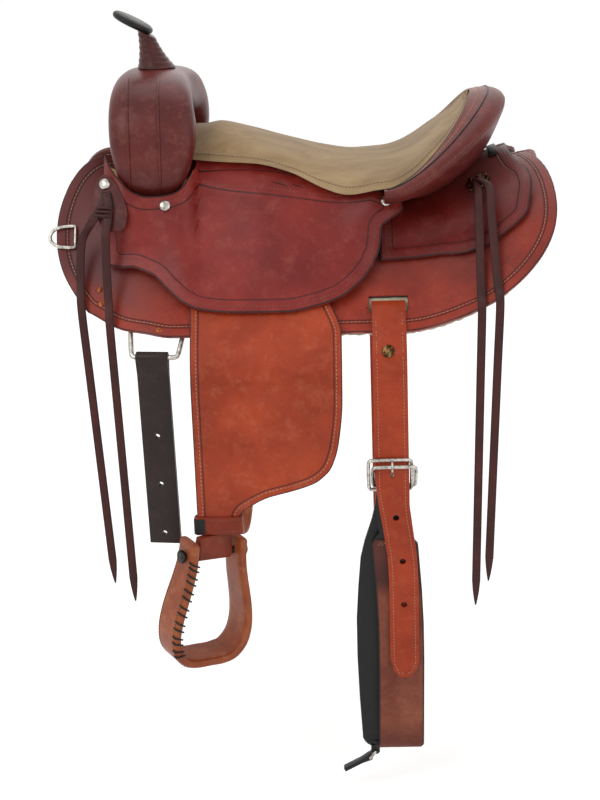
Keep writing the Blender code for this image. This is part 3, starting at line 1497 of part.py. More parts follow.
def make_billet(word, side):
    path = billet_path()
    travelled = sum((b - a).length for a, b in zip(path, path[1:]))
    left = BILLET_LENGTH - travelled
    for k in range(1, 13):
        path.append(billet_plumb() + Vector((0, -left * k / 12)))
    thick = [0.0032, 0.0034, 0.0042] + [BILLET_LEATHER] * (len(path) - 3)
    taper = [smooth_step((billet_plumb().y - p.y - BUCKLE_DROP + 0.028) / 0.05) for p in path]
    narrow = (BILLET_WIDTH - BILLET_TAIL) / 2 if side == NEAR else 0.0
    halves = [BILLET_WIDTH / 2 - narrow * share for share in taper]
    rings = []
    for i, p in enumerate(path):
        along = (path[min(i + 1, len(path) - 1)] - path[max(i - 1, 0)]).normalized()
        normal = Vector((-along.y, along.x)) * thick[i] / 2
        half = halves[i] if i < len(path) - 1 else halves[i] * 0.36
        centre = BILLET_CENTRE + billet_drift(billet_plumb().y - p.y, side)
        rings.append([Vector((centre + c * half, side * (p.x + n * normal.x), p.y + n * normal.y))
                      for c, n in ((-1, -1), (-0.33, -1), (0.33, -1), (1, -1),
                                   (1, 1), (0.33, 1), (-0.33, 1), (-1, 1))])
    for rise, share in ((0.027, 1.0), (0.010, 0.78)):
        shoulder = [v + Vector((0, 0, rise)) for v in rings[-1]]
        for c, v in zip((-1, -0.33, 0.33, 1, 1, 0.33, -0.33, -1), shoulder):
            v.x = centre + c * halves[-1] * share
        rings.insert(len(rings) - 1, shoulder)
    billet = loft("back_billet_" + word, rings, FENDER_RUSSET)
    for k, drop in enumerate(billet_holes()):
        y, z = billet_plumb()
        centre = Vector((BILLET_CENTRE + billet_drift(drop, side), side * y, z - drop))
        reach = Vector((0, 0.010, 0))
        hole = cylinder_between("billet_hole_%s_%d" % (word, k), centre - reach, centre + reach,
                                0.0042, STEEL, 10)
        if word == "near" and k == 0:
            hole.data.transform(Matrix.Translation(centre) @ Matrix.Diagonal((1, 1, 1.6, 1))
                                @ Matrix.Translation(-centre))
        cut_away(billet, hole)
    set_origin(billet, billet_hinge(side))
    return billet


def billet_hinge(side):
    return back_point(BILLET_CENTRE, BILLET_SLOT, SKIRT_IN + 0.0010, side)


def billet_holes():
    """Holes down the plumb part, the first where the buckle's tongue goes through."""
    first = BUCKLE_DROP - BUCKLE_HOLE_RISE + 0.020
    return [first + k * HOLE_SPACING for k in range(BILLET_HOLES)]


# Flank cinch and its buckles, folded and hung from the near billet

def buckle_bars(second=False):
    """Top bar over the billet and lower bar behind it, as (y, z) on the near side."""
    y, z = billet_plumb()
    top = z - BUCKLE_DROP + BUCKLE_HOLE_RISE
    over = -(y + BILLET_LEATHER / 2 + FIT + BUCKLE_WIRE)
    behind = -(y - BILLET_LEATHER / 2 - FREE_PLAY - CINCH_EYE)
    if second:
        return (over - 0.0040, top - 0.0085), (behind + CINCH_SPREAD, top - BUCKLE_HEIGHT)
    return (over, top), (behind, top - BUCKLE_HEIGHT)


def make_buckle(name, shift, top_bar, low_bar):
    """A wire buckle frame, a rounded rectangle leaning from one bar to the other."""
    (y0, z0), (y1, z1) = top_bar, low_bar
    x = BILLET_CENTRE + shift
    corners = [Vector((x - BUCKLE_HALF_WIDTH, y0, z0)), Vector((x + BUCKLE_HALF_WIDTH, y0, z0)),
               Vector((x + BUCKLE_HALF_WIDTH, y1, z1)), Vector((x - BUCKLE_HALF_WIDTH, y1, z1))]
    points = []
    for i, here in enumerate(corners):
        before, after = corners[i - 1], corners[(i + 1) % 4]
        a = here + (before - here).normalized() * 0.006
        b = here + (after - here).normalized() * 0.006
        for k in range(4):
            t = k / 3
            points.append(a * (1 - t) ** 2 + here * 2 * t * (1 - t) + b * t * t)
    return wire_loop(name, points, BUCKLE_WIRE, STEEL, 8)


def make_tongue():
    """The buckle's tongue: hooked on the lower bar, through the billet's hole, to the top bar."""
    (y0, z0), (y1, z1) = buckle_bars()
    x = tongue_hole().x
    radius = 0.0015
    billet_y = -billet_plumb().x
    hole_z = billet_plumb().y - billet_holes()[0]
    inside = billet_y + BILLET_LEATHER / 2 + 0.0030
    path = [Vector((x, y1 - CINCH_EYE + 0.0010, z1 + CINCH_EYE + 0.0030)),
            Vector((x, inside, z1 + CINCH_EYE + 0.0060)),
            Vector((x, inside - 0.0010, hole_z - 0.0045)), Vector((x, billet_y, hole_z)),
            Vector((x, y0 - 0.0030, z0 - 0.0175)), Vector((x, y0 - 0.0089, z0 - 0.0125)),
            Vector((x, y0 - 0.0092, z0 - 0.0085)), Vector((x, y0 - 0.0088, z0 + 0.001))]
    rings = []
    for i, p in enumerate(path):
        along = (path[min(i + 1, len(path) - 1)] - path[max(i - 1, 0)]).normalized()
        side_way = Vector((1, 0, 0))
        normal = along.cross(side_way)
        rings.append([p + radius * (side_way * math.cos(a) + normal * math.sin(a))
                      for a in (2 * math.pi * k / 8 for k in range(8))])
    tongue = loft("buckle_tongue", rings, STEEL)
    set_origin(tongue, tongue_hole())
    return tongue


def tongue_hole():
    y, z = billet_plumb()
    drop = billet_holes()[0]
    return Vector((BILLET_CENTRE + billet_drift(drop, NEAR), -y, z - drop))


def cinch_path():
    """The cinch's middle line, as (y, z, eye): down the near run, the fold, up the far run."""
    (y0, z0), (y1, z1) = buckle_bars()
    bottom = z1 - CINCH_HALF_LENGTH
    run = [(z1 + CINCH_EYE, 0.55), (z1 + CINCH_EYE * 0.7, 0.9), (z1, 1.0), (z1 - CINCH_EYE, 0.95),
           (z1 - 0.014, 0.45), (z1 - 0.026, 0.0)]
    long = CINCH_HALF_LENGTH - 0.050
    run += [(z1 - 0.026 - long * share, 0.0)
            for share in (0.06, 0.10, 0.125, 0.15, 0.22, 0.34, 0.48, 0.64, 0.82, 1.0)]
    far = y1 + CINCH_SPREAD
    path = [(y1, z, eye) for z, eye in run]
    turn = CINCH_SPREAD / 2
    for k in range(1, 8):
        a = math.pi * k / 8
        path.append((y1 + turn - turn * math.cos(a), bottom + 0.024 - turn * math.sin(a), 0.0))
    return path + [(far, z, eye) for z, eye in run[::-1]]


# Where the cinch's two runs hang beside the billet's middle, against the share of its drop,
# and the drop at which each run's shoulder starts with the drop that it takes
NEAR_RUN = ((0.0, CHAPE_SHIFT), (0.12, CHAPE_SHIFT), (0.19, 0.0015), (0.55, 0.0080), (1.0, 0.0055))
FAR_RUN = ((0.0, CHAPE_SHIFT), (0.19, -0.0110), (0.55, -0.0210), (0.90, -0.0170), (1.0, -0.0135))
NEAR_SHOULDER = (0.155, 0.035)
FAR_SHOULDER = (0.05, 0.22)


def make_flank_cinch():
    """One wide strap folded in the middle: the near run outside, the far run behind it."""
    (y0, z0), (y1, z1) = buckle_bars()
    path = cinch_path()
    count = len(path)
    rings = []
    for i, (y, z, eye) in enumerate(path):
        ahead, behind = path[min(i + 1, count - 1)], path[max(i - 1, 0)]
        along = Vector((ahead[0] - behind[0], ahead[1] - behind[1])).normalized()
        normal = Vector((along.y, -along.x))
        drop = (z1 - z) / CINCH_HALF_LENGTH
        near_run = through(NEAR_RUN, drop)
        far_run = through(FAR_RUN, drop)
        over = smooth_step((i / (count - 1) - 0.42) / 0.16)
        shift = near_run + (far_run - near_run) * over
        start, spread = NEAR_SHOULDER if over < 0.5 else FAR_SHOULDER
        wide = CHAPE_WIDTH + (CINCH_WIDTH - CHAPE_WIDTH) * smooth_step((drop - start) / spread)
        thick = CINCH_LEATHER / 2 + (CINCH_EYE - CINCH_LEATHER / 2) * eye
        if i in (0, count - 1):
            thick = CINCH_EYE * 0.6
        centre = BILLET_CENTRE + shift
        rings.append([Vector((centre + c * wide / 2, y + n * normal.x * thick, z + n * normal.y * thick))
                      for c, n in ((-1, -1), (-0.9, -1), (0.9, -1), (1, -1),
                                   (1, 1), (0.9, 1), (-0.9, 1), (-1, 1))])
    cinch = loft("flank_cinch", rings, STIRRUP_TAN)
    for k in range(2):
        centre = Vector((BILLET_CENTRE, y1 + CINCH_SPREAD * k, z1))
        reach = Vector((0.05, 0, 0))
        cut_away(cinch, cylinder_between("cinch_bore_%d" % k, centre - reach, centre + reach,
                                         BUCKLE_WIRE + FIT, STEEL, 14))
    tab, tab_bore = make_cinch_tab()
    join_on(cinch, tab)
    cut_away(cinch, tab_bore)
    set_origin(cinch, tongue_hole())
    return cinch


def cinch_tab():
    """Middle of the eye under the cinch's fold that carries the connector's ring."""
    (y0, z0), (y1, z1) = buckle_bars()
    fold = z1 - CINCH_HALF_LENGTH + 0.024 - CINCH_SPREAD / 2 - CINCH_LEATHER / 2
    return Vector((BILLET_CENTRE - 0.030, y1 + CINCH_SPREAD / 2, fold - 0.0045))


def make_cinch_tab():
    eye = cinch_tab()
    width = 0.012
    outline = [eye + Vector((x, -width / 2, z)) for x, z in
               ((-0.006, 0.0085), (-0.006, -0.002), (-0.003, -0.0052), (0.003, -0.0052),
                (0.006, -0.002), (0.006, 0.0085))]
    tab = extruded("cinch_tab", outline, Vector((0, width, 0)), BLACK_LEATHER)
    reach = Vector((0, 0.02, 0))
    bore = cylinder_between("cinch_tab_bore", eye - reach, eye + reach, CONNECTOR_WIRE + FIT,
                            STEEL, 12)
    return tab, bore


def make_connector_ring():
    """A small wire ring, square across the cinch, between its eye and the connector strap."""
    eye = cinch_tab()
    half, drop = 0.0095, 0.011
    corners = [eye + Vector((0, -half, 0)), eye + Vector((0, half, 0)),
               eye + Vector((-0.008, half, -drop)), eye + Vector((-0.008, -half, -drop))]
    points = []
    for i, here in enumerate(corners):
        before, after = corners[i - 1], corners[(i + 1) % 4]
        a = here + (before - here).normalized() * 0.0025
        b = here + (after - here).normalized() * 0.0025
        for k in range(3):
            t = k / 2
            points.append(a * (1 - t) ** 2 + here * 2 * t * (1 - t) + b * t * t)
    ring = wire_loop("connector_ring", points, CONNECTOR_WIRE, STEEL, 8)
    set_origin(ring, eye)
    return ring


def make_connector_strap():
    """The short black strap that ties the flank cinch to the front cinch."""
    bar = cinch_tab() + Vector((-0.008, 0, -0.011))
    strap = strap_on_bar("connector_strap", (bar, 90.0), CONNECTOR_WIRE, 0.0022, 0.012, 0.040,
                         BLACK_LEATHER)
    turn_about(strap, Vector(), "Y", 62.0)
    strap.modifiers[0].object.data.transform(Matrix.Translation(bar)
                                             @ Matrix.Rotation(math.radians(62.0), 4, "Y")
                                             @ Matrix.Translation(-bar))
    return strap


def build():
    clear_scene()
    for word, side in SIDES:
        make_fleece(word, side)
        make_skirt(word, side)
        make_bar(word, side)
        make_rear_jockey(word, side)
        make_seat_jockey(word, side)
    make_fork()
    make_swell_cover()
    make_horn_post()
    make_horn_wrap()
    make_horn_cap()
    make_tree_cantle()
    make_ground_seat()
    make_seat_cushion()
    make_cantle_cover()
    make_rear_jockey_tie()
    for word, side in SIDES:
        make_stirrup_leather(word, side)
        make_fender(word, side)
        make_hobble(word, side)
        turn = STIRRUP_TURN_NEAR if side == NEAR else STIRRUP_TURN_OFF
        make_loop(word, side, turn)
        make_bolt(word, side, turn)
        make_stirrup(word, side, turn)
        make_rigging_ring(word, side)
        make_breast_dee(word, side)
        make_front_rosette(word, side)
        make_rear_rosette(word, side)
        make_front_strings(word, side)
        make_rear_strings(word, side)
        make_billet(word, side)
        here, along, down, out = jockey_frame(-0.1655, 0.115, JOCKEY_LEATHER + BED_PLAY, side)
        make_screw("swell_screw_" + word, here, out)
        here, along, down, out = jockey_frame(0.121, 0.110, JOCKEY_LEATHER + FREE_PLAY, side)
        make_screw("seat_screw_" + word, here, out)
        here, along, down, out = front_rosette_frame(side)
        place = here - down * ROSETTE_SCREW_RISE - along * 0.015 + out * (ROSETTE_LEATHER + FIT)
        make_screw("rosette_screw_" + word, place, out)
    make_latigo()
    make_off_billet()
    make_flank_cinch()
    make_buckle("cinch_buckle_near", -BUCKLE_OFFSET, *buckle_bars())
    make_buckle("cinch_buckle_far", BUCKLE_OFFSET, *buckle_bars(second=True))
    make_tongue()
    make_connector_ring()
    make_connector_strap()


build()
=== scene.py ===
import math

import bmesh
import bpy
from mathutils import Matrix, Vector, noise
from mathutils.bvhtree import BVHTree
from mathutils.kdtree import KDTree


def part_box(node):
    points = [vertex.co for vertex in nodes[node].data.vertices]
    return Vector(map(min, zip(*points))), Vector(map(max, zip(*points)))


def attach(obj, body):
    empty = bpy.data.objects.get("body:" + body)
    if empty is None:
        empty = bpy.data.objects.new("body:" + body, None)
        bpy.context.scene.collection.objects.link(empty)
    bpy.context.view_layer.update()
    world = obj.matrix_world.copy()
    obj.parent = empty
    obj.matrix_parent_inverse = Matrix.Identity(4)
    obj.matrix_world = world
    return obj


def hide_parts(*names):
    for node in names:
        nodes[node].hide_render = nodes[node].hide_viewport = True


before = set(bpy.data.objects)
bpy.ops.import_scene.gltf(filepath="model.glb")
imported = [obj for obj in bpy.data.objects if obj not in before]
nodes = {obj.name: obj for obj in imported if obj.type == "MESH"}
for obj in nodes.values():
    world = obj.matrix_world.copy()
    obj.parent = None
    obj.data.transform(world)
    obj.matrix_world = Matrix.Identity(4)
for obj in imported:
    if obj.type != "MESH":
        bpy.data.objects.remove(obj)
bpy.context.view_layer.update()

near, off = -1, 1
sides = (("near", near), ("off", off))
up = Vector((0, 0, 1))

# camera, from where the photograph was taken: nearly side on, a little above the seat
shot = {"azimuth": -2.0, "elevation": 17.0, "roll": 2.0, "distance": 2.4, "target": (0, 0, -0.285),
        "metresPerPixel": 0.00143, "pictureHeight": 800, "shiftX": -3 / 800}


def addCamera(shot):
    a, e, roll = (math.radians(shot[k]) for k in ("azimuth", "elevation", "roll"))
    back = Vector((-math.sin(a) * math.cos(e), -math.cos(a) * math.cos(e), math.sin(e)))
    level = (-back).cross(up).normalized()
    upright = level.cross(-back)
    right = level * math.cos(roll) - upright * math.sin(roll)
    data = bpy.data.cameras.new("saddleCamera")
    data.sensor_width = 36
    data.lens = 36 * shot["distance"] / shot["metresPerPixel"] / shot["pictureHeight"]
    data.shift_x = shot["shiftX"]
    camera = bpy.data.objects.new("saddleCamera", data)
    turned = Matrix((right, right.cross(-back), back)).transposed().to_4x4()
    stand = Vector(shot["target"]) + back * shot["distance"]
    camera.matrix_world = Matrix.Translation(stand) @ turned
    bpy.context.collection.objects.link(camera)
    bpy.context.scene.camera = camera


addCamera(shot)
print("camera stands at the photograph's angle")


# forms shared by many pieces; the numbers are the pattern sizes that the solids are cut to

def smoothStep(t):
    t = min(max(t, 0.0), 1.0)
    return t * t * (3 - 2 * t)


# height at x of a smooth curve through (x, value) points, level and with no overshoot
def through(points, x):
    if x <= points[0][0]:
        return points[0][1]
    if x >= points[-1][0]:
        return points[-1][1]
    i = max(k for k in range(len(points) - 1) if points[k][0] <= x)
    slopes = [(b[1] - a[1]) / (b[0] - a[0]) for a, b in zip(points, points[1:])]

    def lean(k):
        if k == 0 or k == len(points) - 1:
            return slopes[min(k, len(slopes) - 1)]
        before, after = slopes[k - 1], slopes[k]
        return 0.0 if before * after <= 0 else 2 * before * after / (before + after)

    (x0, v0), (x1, v1) = points[i], points[i + 1]
    span = x1 - x0
    t = (x - x0) / span
    return ((2 * t ** 3 - 3 * t ** 2 + 1) * v0 + (t ** 3 - 2 * t ** 2 + t) * span * lean(i)
            + (3 * t ** 2 - 2 * t ** 3) * v1 + (t ** 3 - t ** 2) * span * lean(i + 1))


# the horse's back that everything lies on: an arc from the spine, then a straight side
back = {"arc": 0.160, "top": 5.0, "side": 52.0, "withersStart": -0.155, "withersRun": 0.150,
        "withersRise": 0.115, "withersTop": 56.0, "withersSide": 62.0, "loinStart": 0.140,
        "loinRun": 0.200, "loinRise": 0.045, "loinTop": 4.0, "loinSide": 47.0}
layer = {"fit": 0.0003, "play": 0.0007, "bed": 0.0011, "fleece": 0.014, "skirt": 0.005,
         "jockey": 0.004, "fender": 0.004, "strap": 0.0035, "fenderPlay": 0.0032}
layer["skirtIn"] = layer["fleece"] + layer["fit"]
layer["skirtOut"] = layer["skirtIn"] + layer["skirt"]
layer["barIn"] = layer["skirtOut"] + layer["bed"] + layer["fit"]
layer["strapIn"] = layer["skirtOut"] + layer["play"]
layer["fenderIn"] = layer["strapIn"] + layer["strap"] + layer["fit"]
layer["fenderOut"] = layer["fenderIn"] + layer["fender"]
layer["hemIn"] = layer["fenderOut"] + layer["fenderPlay"]


def backSection(x):
    withers = smoothStep((back["withersStart"] - x) / back["withersRun"])
    loin = smoothStep((x - back["loinStart"]) / back["loinRun"])
    top = back["top"] + (back["withersTop"] - back["top"]) * withers
    top += (back["loinTop"] - back["top"]) * loin
    side = back["side"] + (back["withersSide"] - back["side"]) * withers
    side += (back["loinSide"] - back["side"]) * loin
    return (back["withersRise"] * withers + back["loinRise"] * loin, math.radians(top),
            math.radians(side))


# the place s down from the spine and h out from the horse's back
def backPoint(x, s, h, side=near):
    spine, top, straight = backSection(x)
    radius = back["arc"] / (straight - top)
    angle = top + min(s, back["arc"]) / radius
    beyond = max(s - back["arc"], 0.0)
    out = radius * (math.sin(angle) - math.sin(top)) + beyond * math.cos(angle)
    down = radius * (math.cos(top) - math.cos(angle)) + beyond * math.sin(angle)
    return Vector((x, side * (out + h * math.sin(angle)), spine - down + h * math.cos(angle)))


# how far down from the spine a place seen from above lies
def downFromSpine(x, y, h):
    low, high = 0.0, 0.4
    if abs(y) <= abs(backPoint(x, low, h).y):
        return low
    for _ in range(34):
        middle = (low + high) / 2
        if abs(backPoint(x, middle, h).y) < abs(y):
            low = middle
        else:
            high = middle
    return low


def restingHeight(x, y, h):
    return backPoint(x, downFromSpine(x, y, h), h).z


def barThickness(x):
    return 0.018 + (0.009 - 0.018) * smoothStep((x - 0.085) / 0.055)


def rearJockeyHeight(x, s):
    onSkirt = layer["skirtOut"] + 0.0030
    onBar = layer["barIn"] + barThickness(x) + layer["bed"] + 0.0006
    fade = 1 - smoothStep((s - 0.112 + 0.020) / 0.045)
    return onSkirt + (onBar - onSkirt) * fade


# the padded seat's upper face: v from -1 at the fork to 0 at the cantle's foot and 1 at its top
seat = {"front": -0.137, "rear": 0.112, "deep": 0.016, "edge": 0.004, "cantleHalf": 0.158,
        "cantleReach": 0.120, "cantleLow": 0.042, "cantleRise": 0.106,
        "middle": ((-0.137, 0.113), (-0.103, 0.112), (-0.065, 0.103), (-0.016, 0.087),
                   (0.039, 0.073), (0.085, 0.066), (0.112, 0.066)),
        "out": ((-0.137, 0.089), (-0.093, 0.100), (-0.055, 0.109), (-0.002, 0.120),
                (0.043, 0.136), (0.080, 0.150), (0.112, 0.158)),
        "up": ((-0.137, 0.077), (-0.093, 0.074), (-0.050, 0.073), (-0.002, 0.062),
               (0.043, 0.041), (0.070, 0.034), (0.112, 0.042))}


def rimPoint(angle):
    c = max(math.cos(math.radians(angle)), 0.0)
    return Vector((seat["rear"] + 0.007 + seat["cantleReach"] * c,
                   seat["cantleHalf"] * math.sin(math.radians(angle)),
                   seat["cantleLow"] + seat["cantleRise"] * c ** 1.6))


def seatTop(v, w):
    reach, side = abs(w), -1 if w < 0 else 1
    if v <= 0:
        x = seat["front"] + (seat["rear"] - seat["front"]) * (v + 1)
        middle = Vector((x, 0, through(seat["middle"], x)))
        edge = Vector((x, through(seat["out"], x), through(seat["up"], x)))
        power = 2.3
    else:
        edge = rimPoint(90 * (1 - v))
        low = Vector((seat["rear"], 0, through(seat["middle"], seat["rear"])))
        high = rimPoint(0)
        middle = Vector((low.x + (high.x - low.x) * v ** 0.85, 0,
                         low.z + (high.z - low.z) * v ** 1.7))
        power = 2.3 + 0.5 * v
    point = middle.lerp(edge, reach ** power)
    point.y = side * edge.y * reach
    point.x = middle.x + (edge.x - middle.x) * reach ** 2
    return point


def seatNormal(v, w):
    v = min(v, 0.96)
    a = seatTop(min(v + 0.01, 1), w) - seatTop(max(v - 0.01, -1), w)
    b = seatTop(v, min(w + 0.01, 1)) - seatTop(v, max(w - 0.01, -1))
    normal = a.cross(b)
    return normal.normalized() if normal.z > 0 else -normal.normalized()


def underSeat(v, w, extra):
    ends = 1 - max(abs(v) * 1.03 - 0.03, 0) ** 7
    depth = seat["edge"] + (seat["deep"] - seat["edge"]) * (1 - abs(w) ** 6) * ends
    innerV = v * 0.955 if v > 0 else v + 0.004
    spot = seatTop(innerV, w * 0.955) - Vector((0.0045 * smoothStep(v), 0, 0))
    return spot - seatNormal(innerV, w * 0.955) * (depth + extra)


# more stations along a path, by a Catmull-Rom curve through the given ones
def refined(path, steps):
    last = len(path) - 1
    nothing = Vector() if isinstance(path[0], Vector) else 0
    points = []
    for i in range(last):
        p = [path[min(max(i + k, 0), last)] for k in (-1, 0, 1, 2)]
        for n in range(steps):
            t = n / steps
            b = (-t / 2 + t * t - t ** 3 / 2, 1 - 2.5 * t * t + 1.5 * t ** 3,
                 t / 2 + 2 * t * t - 1.5 * t ** 3, (t ** 3 - t * t) / 2)
            points.append(sum((q * w for q, w in zip(p, b)), nothing))
    return points + [path[-1]]


# points at even spacing along a polyline, with the direction there
def walked(points, spacing, start=0.0):
    found, travelled, target = [], 0.0, start
    for a, b in zip(points, points[1:]):
        length = (b - a).length
        while length > 0 and target <= travelled + length:
            found.append((a.lerp(b, (target - travelled) / length), (b - a).normalized()))
            target += spacing
        travelled += length
    return found


def runLength(points):
    return sum((b - a).length for a, b in zip(points, points[1:]))


# materials

def toLinear(hexColour):
    channels = [int(hexColour[i:i + 2], 16) / 255 for i in (1, 3, 5)]
    return [c / 12.92 if c <= 0.04045 else ((c + 0.055) / 1.055) ** 2.4 for c in channels] + [1.0]


# adds one node, sets its fields and sockets, and joins its inputs
def addNode(tree, kind, settings=None, links=None):
    node = tree.nodes.new("ShaderNode" + kind)
    for key, value in (settings or {}).items():
        if key == "stops":
            ramp = node.color_ramp.elements
            for i, (place, colour) in enumerate(value):
                stop = ramp[i] if i < 2 else ramp.new(place)
                stop.position = place
                stop.color = toLinear(colour) if isinstance(colour, str) else (colour,) * 3 + (1,)
        elif isinstance(key, str) and hasattr(node, key):
            setattr(node, key, value)
        else:
            node.inputs[key].default_value = value
    for key, source in (links or {}).items():
        tree.links.new(source, node.inputs[key])
    return node


# a new material with the object's own coordinates to lay its pattern by
def newMaterial(name):
    mat = bpy.data.materials.new(name)
    mat.use_nodes = True
    tree = mat.node_tree
    place = {"Vector": addNode(tree, "TexCoord").outputs["Object"]}
    return mat, tree, tree.nodes["Principled BSDF"], place


# joins colour and bump to the shader and sets what is the same all over
def finished(tree, shader, colour, bump, plain):
    tree.links.new(colour, shader.inputs["Base Color"])
    tree.links.new(bump.outputs["Normal"], shader.inputs["Normal"])
    for socket, value in plain.items():
        shader.inputs[socket].default_value = value


# Vegetable-tanned strap leather, drum-dyed, oiled and hand-rubbed: blotchy dye in patches as wide
# as a hand, paler where it has been handled, a fine pebbled grain, a dark burnished cut edge and
# darker tooled lines. The real pores are about 0.4 mm; they are drawn 2 to 3 mm so that they show.
leatherBasics = {"patch": 0.085, "handled": 0.016, "grain": 0.0026, "grainDepth": 0.00022,
                 "roughness": 0.44, "coat": 0.05, "specular": 0.28, "rub": 0.35, "edge": "#2a1210",
                 "edgeWidth": 0.0022, "lines": (), "lineWidth": 0.0011, "lineDepth": 0.0007,
                 "ageing": None}


def leather(name, deep, base, pale, **changes):
    look = {**leatherBasics, **changes}
    mat, tree, shader, place = newMaterial(name)
    patches = addNode(tree, "TexNoise", {"Scale": 1 / look["patch"], "Detail": 6.0,
                                         "Roughness": 0.62}, place)
    dye = addNode(tree, "ValToRGB", {"stops": ((0.36, 0.0), (0.66, 1.0))},
                  {"Fac": patches.outputs["Fac"]})
    worn = addNode(tree, "TexNoise", {"Scale": 1 / look["handled"], "Detail": 4.0,
                                      "Roughness": 0.7}, place)
    rubbed = addNode(tree, "ValToRGB", {"stops": ((0.50, 0.0), (0.78, look["rub"]))},
                     {"Fac": worn.outputs["Fac"]})
    dyed = addNode(tree, "Mix", {"data_type": "RGBA", 6: toLinear(deep), 7: toLinear(base)},
                   {0: dye.outputs["Color"]})
    pebbles = addNode(tree, "TexVoronoi", {"Scale": 1 / look["grain"], "feature": "SMOOTH_F1"},
                      place)
    creases = addNode(tree, "ValToRGB", {"stops": ((0.35, 0.0), (0.85, 0.22))},
                      {"Fac": pebbles.outputs["Distance"]})
    # the tone mark painted on a piece's points holds random changes of tone together with painted
    # shade and painted sheen; rim is how far in from the cut edge a point is
    toneAndShading, rim = (addNode(tree, "Attribute", {"attribute_name": mark}).outputs["Fac"]
                 for mark in ("toneAndShading", "rim"))
    burnish = addNode(tree, "MapRange", {"From Min": look["edgeWidth"] * 0.35,
                                         "From Max": look["edgeWidth"], "To Min": 1.0,
                                         "To Max": 0.0}, {"Value": rim})
    colour = dyed.outputs[2]
    for factor, tint in ((rubbed.outputs["Color"], pale), (creases.outputs["Color"], deep),
                         (toneAndShading, look["ageing"] or deep),
                         (burnish.outputs["Result"], look["edge"])):
        colour = addNode(tree, "Mix", {"data_type": "RGBA", 7: toLinear(tint)},
                         {0: factor, 6: colour}).outputs[2]
    depth = None
    for distance in look["lines"]:
        aside = addNode(tree, "Math", {"operation": "SUBTRACT", 1: distance}, {0: rim})
        away = addNode(tree, "Math", {"operation": "ABSOLUTE"}, {0: aside.outputs[0]})
        line = addNode(tree, "MapRange", {"From Min": look["lineWidth"] * 0.4,
                                          "From Max": look["lineWidth"], "To Min": 0.8,
                                          "To Max": 0.0}, {"Value": away.outputs[0]})
        line = line.outputs["Result"]
        colour = addNode(tree, "Mix", {"data_type": "RGBA", 7: toLinear(look["edge"])},
                         {0: line, 6: colour}).outputs[2]
        depth = line if depth is None else addNode(tree, "Math", {"operation": "MAXIMUM"},
                                                   {0: depth, 1: line}).outputs[0]
    gloss = addNode(tree, "MapRange", {"To Min": look["roughness"] - 0.09,
                                       "To Max": look["roughness"] + 0.13},
                    {"Value": worn.outputs["Fac"]})
    tree.links.new(gloss.outputs["Result"], shader.inputs["Roughness"])
    rough = addNode(tree, "Math", {"operation": "MULTIPLY", 1: 0.6}, {0: worn.outputs["Fac"]})
    height = addNode(tree, "Math", {"operation": "SUBTRACT"},
                     {0: rough.outputs[0], 1: pebbles.outputs["Distance"]})
    bump = addNode(tree, "Bump", {"Strength": 0.45, "Distance": look["grainDepth"]},
                   {"Height": height.outputs[0]})
    if depth is not None:
        bump = addNode(tree, "Bump", {"Strength": 1.0, "Distance": look["lineDepth"],
                                      "invert": True},
                       {"Height": depth, "Normal": bump.outputs["Normal"]})
    finished(tree, shader, colour, bump, {"Specular IOR Level": look["specular"],
                                          "Coat Weight": look["coat"], "Coat Roughness": 0.38})
    return mat


# full-grain skirting, russet, glossed with wax: the strongest colour on the saddle, painted darker
# and greyer over the front and the rear, with painted shade along its top under the jockeys and
# seat
skirtLeather = leather("skirtingLeather", "#8a2818", "#b03a22", "#c06046", rub=0.30, roughness=0.40,
                       lines=(0.0125, 0.0165), ageing="#5a2b2a")
# the same hide dyed oxblood for the jockeys, with a brighter wax sheen
jockeyLeather = leather("oxbloodJockeyLeather", "#761c17", "#952c25", "#ab574b", rub=0.40,
                        roughness=0.38, coat=0.08, lines=(0.0015, 0.0175), ageing="#571a17")
# the rear jockeys' tint is paler and greyer: a painted sheen on their top
rearJockeyLeather = leather("oxbloodRearJockeyLeather", "#5a130f", "#7a1f1a", "#98493f", rub=0.32,
                            roughness=0.38, coat=0.08, lines=(0.0015, 0.0165), ageing="#6e3937")
# softer leather wet-moulded over the swell, rubbed pale in patches; painted shade darkens it low
# down so that its shoulders look lit
swellLeather = leather("mouldedSwellLeather", "#531814", "#6c231f", "#93574d", rub=0.50, patch=0.06,
                       roughness=0.36, coat=0.12)
fenderLeather = leather("fenderLeather", "#963315", "#bc4824", "#cc7052", rub=0.42, roughness=0.42,
                        lines=(0.0105,), ageing="#93371f")
strapLeather = leather("billetStrapLeather", "#963214", "#b8431f", "#ca6644", rub=0.35,
                       roughness=0.45, ageing="#5b2418", grain=0.0022)
latigoLeather = leather("oilTannedLatigo", "#1f110f", "#2c1a18", "#46302d", rub=0.55,
                        roughness=0.42, coat=0.06, patch=0.05, edge="#160e10")
thongLeather = leather("latigoThong", "#36140f", "#4f1f1b", "#70403a", rub=0.35, patch=0.05,
                       roughness=0.5, edge="#2a1414", grain=0.002)
stirrupLeather = leather("stitchedStirrupLeather", "#8e4222", "#ae5c34", "#c48660", rub=0.55,
                         patch=0.035, roughness=0.42, edge="#2a1a14")
cinchLeather = leather("cinchStrapLeather", "#6c3022", "#925039", "#a8705a", rub=0.4, patch=0.07,
                       roughness=0.52, ageing="#47201c", grain=0.0022)
blackLeather = leather("blackHarnessLeather", "#0c0b0b", "#151313", "#2c2827", rub=0.4,
                       roughness=0.42, coat=0.08, edge="#0c0b0b")
bindingLeather = leather("cantleBindingLeather", "#5f1c13", "#832c1e", "#a35b47", rub=0.4,
                         patch=0.05, roughness=0.4, coat=0.08)
rollLeather = leather("cantleBackLeather", "#541a17", "#762d28", "#93594f", rub=0.4, patch=0.07,
                      roughness=0.42, coat=0.06)
hornLeather = leather("hornWrapLeather", "#380f0d", "#4f1a17", "#76403a", rub=0.4, patch=0.03,
                      roughness=0.38, coat=0.08)
hobbleLeather = leather("hobbleStrapLeather", "#782812", "#a03a1f", "#b85f46", rub=0.35,
                        roughness=0.45)
